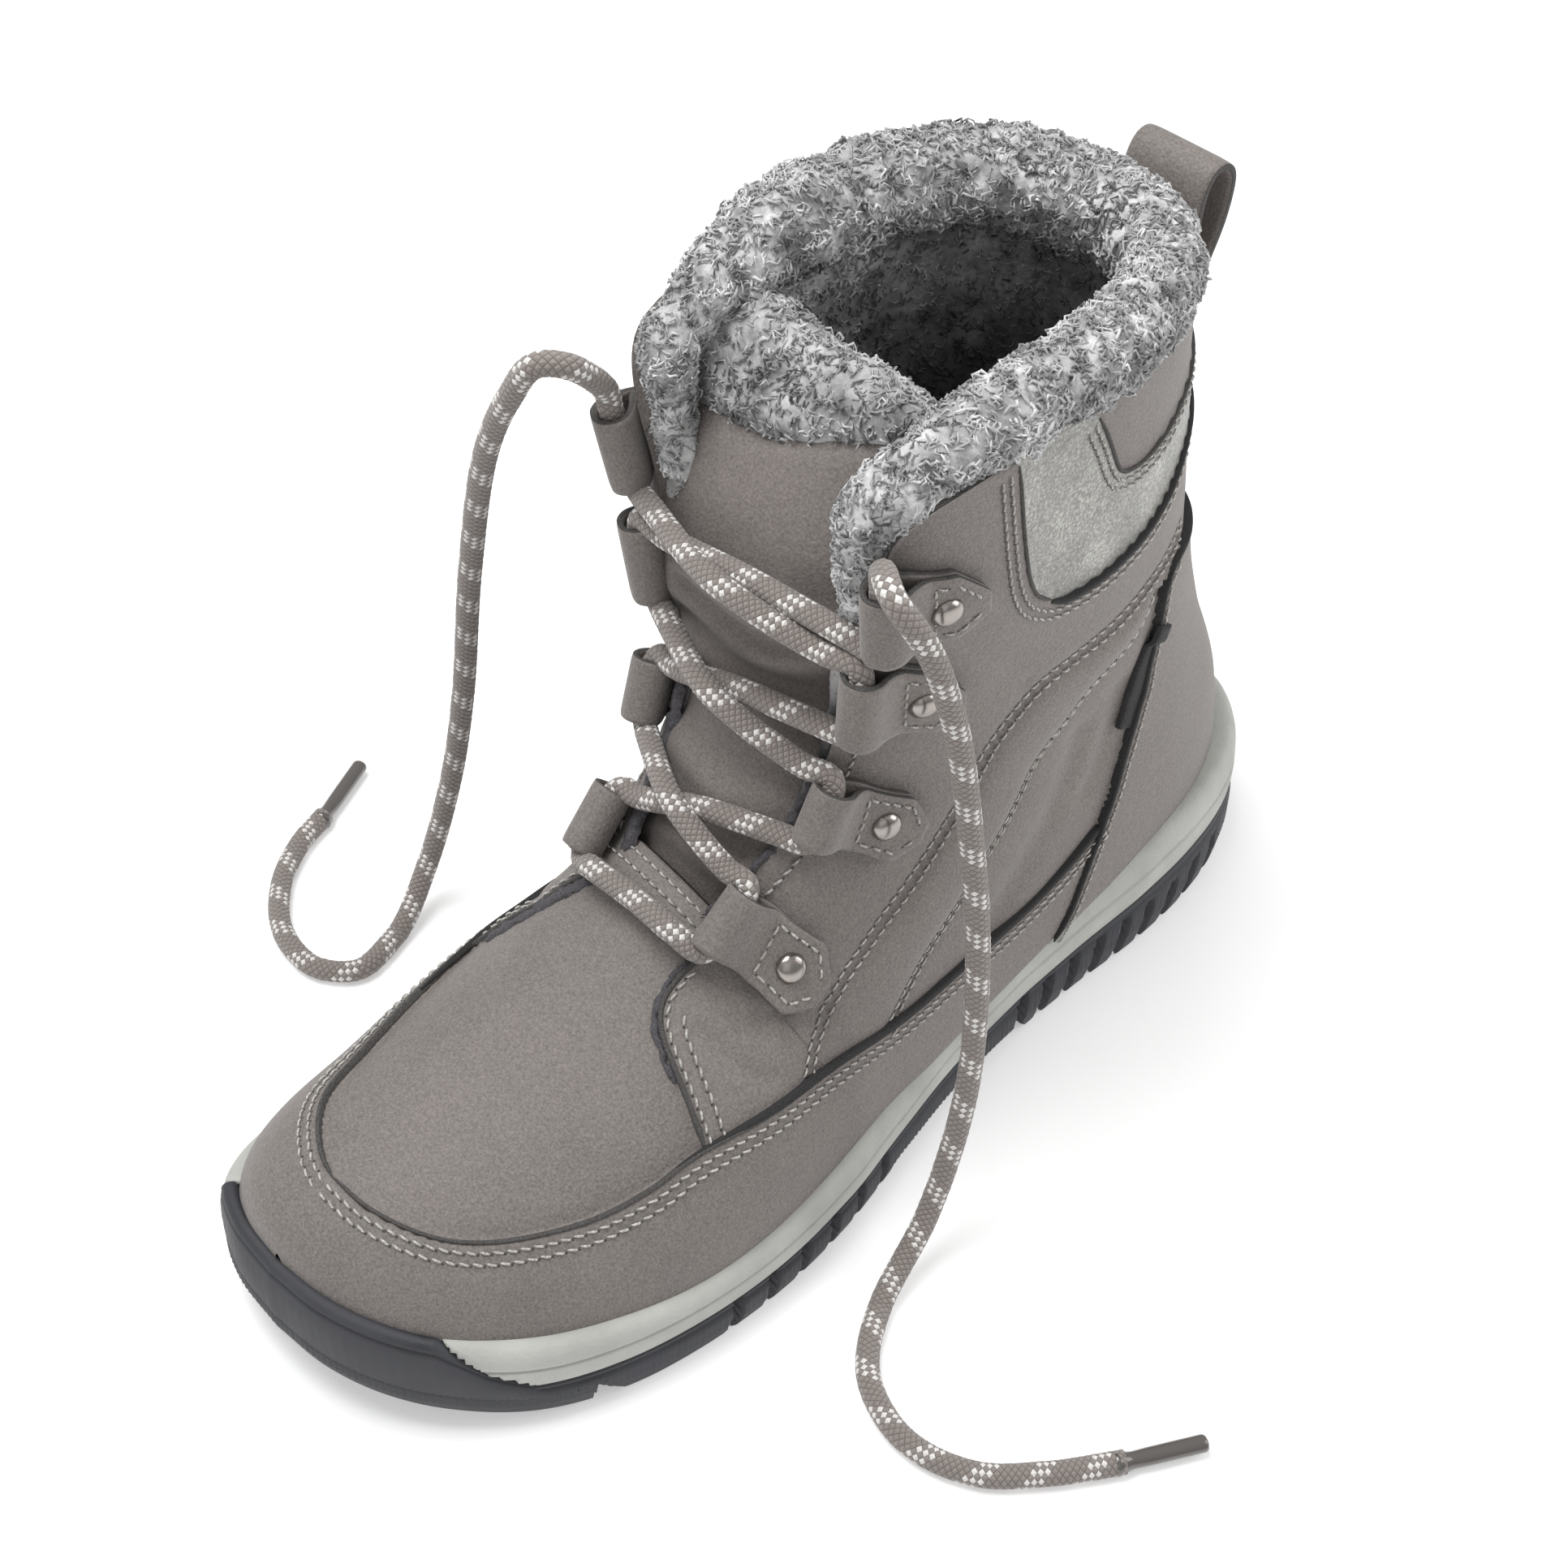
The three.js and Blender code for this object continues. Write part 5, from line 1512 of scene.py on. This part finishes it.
def makeTongueLeather():
    rowSteps = np.linspace(0.15, 13, 170)[:, None]
    share = np.linspace(-1, 1, 66)[None]
    face = tongueSkin(rowSteps, share, 0.0 * share * rowSteps)
    # rounded, slightly puffed front with the folds of an empty boot
    puff = 1.3 * (1 - share ** 4) - 1.0 * smoothStep((np.abs(share) - 0.86) / 0.14)
    for line, deep, width in tongueFolds:
        path = bootPoint(*pathOnBoot(line, 2.0))[:, [0, 2]]
        away = np.full(face.shape[:2], 1e9)
        for a, b in zip(path[:-1], path[1:]):
            t = np.clip(((face[..., [0, 2]] - a) @ (b - a)) / ((b - a) @ (b - a)), 0, 1)
            away = np.minimum(away, np.linalg.norm(face[..., [0, 2]] - a - t[..., None] * (b - a), axis=-1))
        puff = puff - deep * np.exp(-(away / width) ** 2)
        puff = puff + 0.35 * deep * np.exp(-((away - 2 * width) / width) ** 2)
    puff = puff + 0.35 * softNoise(face, 14.0, 41)
    front = tongueSkin(rowSteps, share, -puff)
    # the leather stops at a slanted line; it is the part of the skin below that line
    beside = front[..., 0] + 11
    topLine = 168 + np.where(beside > 0, 0.35, 0.13) * beside + 0.5 * softNoise(front, 6.0, 42)
    over = front[..., 2] - topLine
    stop = np.argmax(over > 0, axis=0)
    stop = np.where(over.max(axis=0) > 0, stop, len(rowSteps) - 1)
    # each column is drawn again with its rows ending on the line, so the edge is smooth
    lastRow = np.empty(front.shape[1])
    for k in range(front.shape[1]):
        i = max(stop[k], 1)
        t = np.clip(-over[i - 1, k] / max(over[i, k] - over[i - 1, k], 1e-6), 0, 1)
        lastRow[k] = rowSteps[i - 1, 0] + t * (rowSteps[i, 0] - rowSteps[i - 1, 0])
    spread = np.linspace(0, 1, 150)[:, None]
    rows = 0.15 + (lastRow[None] - 0.15) * spread
    puffAt = np.stack([np.interp(rows[:, k], rowSteps[:, 0], puff[:, k]) for k in range(front.shape[1])], -1)
    edgeRoll = 0.9 * smoothStep((spread - 0.965) / 0.035)
    leather = tongueSkin(rows, share, -puffAt + edgeRoll)
    # one more column at each side and one more row on top turn the edges back
    leather = np.concatenate([tongueSkin(rows[:, :1], share[:, :1] * 0.985, -puffAt[:, :1] + 3.6), leather,
                              tongueSkin(rows[:, -1:], share[:, -1:] * 0.985, -puffAt[:, -1:] + 3.6)], axis=1)
    leather = np.concatenate([leather, leather[-1:] + np.array([0, 2.2, 0.4])])
    piece = makePiece("tongueLeather", leather.reshape(-1, 3), gridFaces(*leather.shape[:2]),
                      "tongue", "leather")
    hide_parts("tongue")


def makeTonguePile():
    # pile body behind and over the leather: a closed section whose front stands out above its edge
    rowsPile = np.linspace(0.4, 11.9, 120)[:, None]
    angle = np.linspace(0, 2 * np.pi, 96, endpoint=False)[None]
    section = np.sign(np.cos(angle)) * np.abs(np.cos(angle)) ** 0.75
    z = columnAt(tongueRows, 1, rowsPile)
    beside = 9 + section * 32
    high = smoothStep((z - np.where(beside > 0, 0.35, 0.13) * beside - 165) / 6)
    thick = 8.5 * (1 - 0.45 * section ** 2)
    frontDepth = 1.6 - 4.2 * high
    backDepth = thick + 2.6 * high
    rounding = (backDepth - frontDepth) * (1 - np.abs(np.sin(angle)) ** 0.6) / 2
    depth = np.where(np.sin(angle) > 0, frontDepth + rounding, backDepth - rounding)
    closing = np.sqrt(np.clip(1 - ((rowsPile - 11.15) / 0.76).clip(0, 1) ** 2, 0.0, 1))
    body = tongueSkin(rowsPile, section * (0.93 + 0.07 * high) * (0.25 + 0.75 * closing), depth)
    middle = body.mean(axis=1, keepdims=True)
    body = middle + (body - middle) * (0.12 + 0.88 * closing)[..., None]
    body[..., 2] += 5.0 * smoothStep((rowsPile - 10.0) / 1.9) * smoothStep((-8 - body[..., 0]) / 22)
    out = gridNormals(np.concatenate([body[:, -1:], body, body[:, :1]], axis=1))[:, 1:-1]
    out = out * np.sign((out * (body - middle)).sum(-1).mean())
    body = body + out * pileBumps(body, 0.3 + 0.8 * high)[..., None]
    shade = pileShade(body)
    # painted shade: the tongue's pile is darkened to 0.72 of its colour, and the curls on it to 0.82, to tone
    # down its brightly lit upward face
    makePiece("tonguePile", body.reshape(-1, 3), gridFaces(*body.shape[:2], wrap=True), "pile", "pile",
              values={"shade": shade, "light": np.full(shade.size, 0.72)})
    above = rowsPile[:, 0] > 8.6
    pileGrids.append((body[above], out[above], 0.75, np.ones(int(above.sum())),
                      np.full(body[above].shape[:2], 0.82)))


curlSizes = {"perPiece": 10800, "total": 21400, "radius": 0.29}


def makeCurls():
    # curls root at random places of the visible pile, as many in each as its area and share ask;
    # each rises, leans over along a random direction and comes back down with a small swing
    draw = np.random.default_rng(7)
    areas = []
    for points in (entry[0] for entry in pileGrids):
        du, dv = np.gradient(points, axis=0), np.gradient(points, axis=1)
        areas.append(np.linalg.norm(np.cross(du, dv), axis=-1)[:-1, :-1])
    weights = np.array([a.sum() * g[2] for a, g in zip(areas, pileGrids)])
    counts = (curlSizes["total"] * weights / weights.sum()).astype(int)
    roots, lifts, sizesOf, lights = [], [], [], []
    for (points, normal, _, size, light), area, count in zip(pileGrids, areas, counts):
        chance = area.ravel() / area.sum()
        cell = draw.choice(len(chance), count, p=chance)
        i, j = np.divmod(cell, area.shape[1])
        a, b = draw.random((2, count, 1))
        roots.append((1 - a) * ((1 - b) * points[i, j] + b * points[i, j + 1])
                     + a * ((1 - b) * points[i + 1, j] + b * points[i + 1, j + 1]))
        lifts.append(normal[i, j])
        sizesOf.append(size[i])
        lights.append(light[i, j])
    root, lift, size = np.concatenate(roots), unit(np.concatenate(lifts)), np.concatenate(sizesOf)[:, None]
    count = len(root)
    other = draw.normal(size=(count, 3))
    lean = unit(other - lift * (other * lift).sum(-1, keepdims=True))
    swing = np.cross(lift, lean)
    high = (0.55 + 1.15 * draw.random((count, 1))) * size
    reach = (1.4 + 2.2 * draw.random((count, 1))) * size
    curl = (2.2 * draw.random((count, 1)) - 1.1) * size
    share = np.array([0.0, 0.34, 0.70, 1.0])[None, :, None]
    path = (root[:, None] - lift[:, None] * 0.5
            + lift[:, None] * (high[:, None] * np.sin(np.pi * share ** 0.8))
            + lean[:, None] * (reach[:, None] * (share - 0.3))
            + swing[:, None] * (curl[:, None] * np.sin(2 * np.pi * share)))
    run = unit(np.gradient(path, axis=1))
    one = unit(np.cross(run, swing[:, None] + 0.01))
    two = np.cross(run, one)
    thick = curlSizes["radius"] * np.array([0.9, 1.12, 0.95, 0.3])[None, :, None, None]
    thick = thick * (0.75 + 0.5 * draw.random((count, 1, 1, 1))) * (0.6 + 0.4 * size[:, :, None, None])
    turn = fullTurn(3)[None, None, :, None]
    tube = path[:, :, None] + thick * (one[:, :, None] * np.cos(turn) + two[:, :, None] * np.sin(turn))
    shade = np.clip(0.5 + 0.5 * softNoise(root, 4.5, 33) + 0.15 * draw.normal(size=count), 0, 1)
    # painted shade: each curl takes the "light" value of the surface it roots on
    lights = np.concatenate(lights)
    order = draw.permutation(count)
    for number, part in enumerate(np.array_split(order, -(-count // curlSizes["perPiece"]))):
        faces = repeatedFaces(gridFaces(4, 3, wrap=True), 12, len(part))
        makePiece(f"pileCurls{number + 1}", tube[part].reshape(-1, 3), faces, "pile", "pile",
                  values={"shade": np.repeat(shade[part], 12), "light": np.repeat(lights[part], 12)})
    print("pile curls:", count)


def makeInsolePile():
    # rings of the sole's outline, drawn in toward its middle line, a little over the feather
    ring = soleOutline(150)
    share = np.linspace(0, 1, 30)[:, None]
    inner = ring.copy()
    inner[:, 0] = inner[:, 0] * 0.72 - 1.0
    inner[:, 1] = inner[:, 1] * 0.90
    spine = np.stack([np.full(len(ring), -2.0) + 0 * inner[:, 0], inner[:, 1] * 0.97], -1)
    flat = inner[None] * (1 - share[..., None]) + spine[None] * share[..., None]
    z = soleHeight(3, flat[..., 1]) + 4.3
    bed = np.concatenate([flat, z[..., None]], -1)
    bed[..., 2] += pileBumps(bed, 0.6)
    count = bed[..., 0].size
    # painted shade: the insole's pile, deep inside the boot, is darkened to 0.1 of its colour and given an
    # even, low tone (shade 0.3)
    piece = makePiece("insolePile", bed.reshape(-1, 3), gridFaces(30, 150, wrap=True)[:, ::-1],
                      "pile", "pile", values={"shade": np.full(count, 0.3), "light": np.full(count, 0.1)})
    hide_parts("insole")


def soleOutline(count):
    # closed outline of the sole seen from above, points evenly spaced, starting at the toe's tip
    rows = np.linspace(0, len(soleRows) - 1, 900)
    y = columnAt(soleRows, 0, rows)
    lateral = np.stack([columnAt(soleRows, 1, rows), y], -1)
    medial = np.stack([columnAt(soleRows, 2, rows), y], -1)
    return evenly(np.concatenate([lateral, medial[::-1][1:]]), count=count + 1)[:-1]


def outlineInward(ring):
    run = np.roll(ring, -1, axis=0) - np.roll(ring, 1, axis=0)
    return unit(np.stack([-run[:, 1], run[:, 0]], -1))


# y and z of the bumper's rear edge
bumperBack = np.array([(-130, 60), (-127, 27), (-120, 18.5), (-113, 13), (-108, 9)])
treads = {"foreSlots": [-80, -70, -60, -50, -40, -30], "foreWidth": 2.6, "foreTop": 6.6, "foreTurn": 14,
          "heelSlots": list(range(43, 117, 9)), "heelWidth": 3.2, "heelTop": 9.0, "heelTurn": -16,
          "hollow": (-12, 35, 5.0), "toeGap": (-97.0, 9.0, 9.0), "lean": 0.22, "recess": 2.6}


def bumperTop(x, y):
    # the rear edge stands 7 mm nearer the toe on the medial side
    rear = np.interp(y + 7 * smoothStep((-x - 6) / 20), bumperBack[:, 0], bumperBack[:, 1], left=60, right=0)
    return np.minimum(soleHeight(3, y) + 0.4, rear)


soleCount = 900  # points round the midsole and the bumper


def makeMidsole():
    # one profile with a side groove, carried round the outline; behind the bumper it is set in
    ring = soleOutline(soleCount)
    inward = outlineInward(ring)
    profile = np.array([  # share of the way from joint to feather, inset
        (0.0, 7.0), (0.0, 1.0), (0.02, 0.55), (0.08, 0.32), (0.2, 0.20), (0.34, 0.18), (0.44, 0.28),
        (0.475, 0.42), (0.495, 0.95), (0.515, 1.15), (0.535, 0.95), (0.555, 0.50), (0.62, 0.50), (0.72, 0.72),
        (0.82, 1.15), (0.90, 1.72), (0.955, 2.40), (0.99, 3.20), (1.0, 4.4), (0.99, 8.0)])
    joint, feather = soleHeight(2, ring[:, 1]), soleHeight(3, ring[:, 1])
    z = joint + (feather - joint) * profile[:, :1]
    behind = smoothStep((bumperTop(ring[:, 0], ring[:, 1]) - z + 0.4) / 0.8)
    inset = profile[:, 1:2] + np.where(profile[:, 1:2] < 6, 3.4, 0.0) * behind
    wave = 0.10 * softNoise(np.stack([ring[:, 0] + 0 * z, ring[:, 1] + 0 * z, z], -1), 9.0, 51)
    flat = ring[None] + inward[None] * (inset + wave)[..., None]
    points = np.concatenate([flat, z[..., None]], -1)
    piece = makePiece("midsoleFoam", points.reshape(-1, 3), gridFaces(len(profile), soleCount, wrap=True),
                      "foam", "foam")
    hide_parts("midsole")


def slotRoof(x, y, z):
    # height of the tread's slots and waist over a place on the ground; 0 on a lug. The second
    # number is how far into a slot the place is, from 0 to 1; slots lean back with height.
    roof, into = np.zeros(np.shape(x)), np.zeros(np.shape(x))
    for places, width, top, lean in (("foreSlots", "foreWidth", "foreTop", "foreTurn"),
                                     ("heelSlots", "heelWidth", "heelTop", "heelTurn")):
        slope = math.tan(math.radians(treads[lean]))
        across = np.where(x > -1.5, x - 5, -8 - x)
        for place in treads[places]:
            away = np.abs(y - place - slope * np.maximum(across, 0) - treads["lean"] * z)
            cut = (treads[width] / 2 - away) / 0.5
            cut = smoothStep(cut + 0.5) * smoothStep(across / 2.0 + 0.5)
            roof = np.maximum(roof, treads[top] * cut)
            into = np.maximum(into, cut * smoothStep((treads[top] + 4.6 - z) / 1.6))
    # behind the toe bumper a wide gap, steep at its front and slanting down to the first lug
    middle, wide, top = treads["toeGap"]
    slant = np.clip((middle + wide / 2 - y) / wide, 0, 1) * smoothStep((y - middle + wide / 2) / 0.8)
    roof = np.maximum(roof, top * slant * smoothStep((x - 6) / 6))
    low, high, rise = treads["hollow"]
    waist = rise * smoothStep((y - low + 6) / 6) * smoothStep((high + 6 - y) / 6)
    return np.maximum(roof, waist), into


def makeOutsole():
    count = 1200
    ring = soleOutline(count)
    inward = outlineInward(ring)
    under, joint = np.maximum(soleHeight(1, ring[:, 1]), 0), soleHeight(2, ring[:, 1]) - 0.35
    # side wall, joint to ground: share down the wall and inset
    wall = np.array([(0.0, 7.0), (0.0, 0.9), (0.02, 0.5), (0.07, 0.35), (0.10, 0.75), (0.14, 0.80),
                     (0.17, 0.30), (0.25, 0.15), (0.33, 0.08), (0.41, 0.04), (0.49, 0.02), (0.57, 0.03),
                     (0.64, 0.08), (0.71, 0.18), (0.78, 0.32), (0.85, 0.55), (0.91, 0.9), (0.96, 1.3),
                     (0.99, 1.7), (1.0, 2.3)])
    z = joint + (under - joint) * wall[:, :1]
    place = np.linspace(0, 1, count, endpoint=False)
    lengthRound = np.linalg.norm(np.roll(ring, -1, axis=0) - ring, axis=1).sum()
    band = smoothStep((wall[:, :1] - 0.17) / 0.04) * smoothStep((0.62 - wall[:, :1]) / 0.04)
    ribs = 0.32 * band * np.abs(np.sin(np.pi * place * round(lengthRound / 1.5)))[None]
    flat = ring[None] + inward[None] * (wall[:, 1:2] - ribs)[..., None]
    side = np.concatenate([flat, z[..., None]], -1)
    # underside: from the edge to the middle line
    share = (np.arange(1, 13) / 12)[:, None]
    edge = ring + inward * 2.3
    spine = np.stack([np.full(count, -1.5) + 0 * ring[:, 0], ring[:, 1] * 0.985], -1)
    flat = edge[None] * (1 - share[..., None]) + spine[None] * share[..., None]
    floorZ = np.maximum(soleHeight(1, flat[..., 1]), 0)
    bottom = np.concatenate([flat, floorZ[..., None]], -1)
    points = np.concatenate([side, bottom])
    roof, into = slotRoof(points[..., 0], points[..., 1], points[..., 2])
    z = points[..., 2]
    limit = np.maximum(soleHeight(2, points[..., 1]) - 2.2, z)
    points[..., 2] = np.minimum(np.maximum(z, roof + np.where(roof > 0.5, 0, -5)), limit)
    # over each slot the side wall is cut back as well, as a groove that runs up past the roof
    points[:len(wall), :, :2] += inward[None] * (treads["recess"] * into[:len(wall)])[..., None]
    faces = gridFaces(len(points), count, wrap=True)[:, ::-1]
    piece = makePiece("outsoleTread", points.reshape(-1, 3), faces, "rubber", "rubber")
    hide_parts("outsole")


def makeBumper():
    # the outline's part round the toe, from one end to the other, with a lipped and ribbed profile
    ring = soleOutline(soleCount)
    inward = outlineInward(ring)
    ring, inward = (np.roll(values, soleCount // 2, axis=0) for values in (ring, inward))
    keep = ring[:, 1] < -96.8
    first, last = np.nonzero(keep)[0][[0, -1]]
    ring, inward = ring[first:last + 1], inward[first:last + 1]
    joint, top = soleHeight(2, ring[:, 1]), bumperTop(ring[:, 0], ring[:, 1])
    profile = np.array([(0.0, 0.95), (0.02, 0.25), (0.12, -0.05), (0.3, -0.12), (0.5, -0.10), (0.66, 0.05),
                        (0.78, 0.30), (0.84, 0.52), (0.86, 0.95), (0.885, 0.98), (0.905, 0.62), (0.94, 0.92),
                        (0.975, 1.35), (0.995, 2.0), (1.0, 2.8), (0.99, 3.6), (0.9, 4.2)])
    base = joint - 4.0
    tall = np.maximum(top - base, 0.3)
    z = base + tall * profile[:, :1]
    place = np.arange(len(ring))[None] * 0.8
    hatch = smoothStep((profile[:, :1] - 0.2) / 0.1) * smoothStep((0.75 - profile[:, :1]) / 0.08)
    front = smoothStep((-108 - ring[:, 1]) / 6)
    ribs = 0.16 * hatch * front * np.abs(np.sin((z * 1.0 + place * 0.55) * np.pi / 1.5))
    flat = ring[None] + inward[None] * (profile[:, 1:2] - ribs)[..., None]
    points = np.concatenate([flat, z[..., None]], -1)
    makePiece("toeBumper", points.reshape(-1, 3), gridFaces(len(profile), len(ring)), "rubber", "rubber")


makeRoll()
makeLining()
makeTongueLeather()
makeTonguePile()
makeInsolePile()
makeCurls()
makeMidsole()
makeOutsole()
makeBumper()


def makeFloor():
    half = studio["floorHalf"]
    mesh = bpy.data.meshes.new("studioFloor")
    corners = [(-half, -half, 0), (half, -half, 0), (half, half, 0), (-half, half, 0)]
    mesh.from_pydata(corners, [], [(0, 1, 2, 3)])
    mesh.materials.append(floorMaterial)
    floor = bpy.data.objects.new("studioFloor", mesh)
    bpy.context.collection.objects.link(floor)


makeFloor()

print("triangles made here:", made["triangles"])
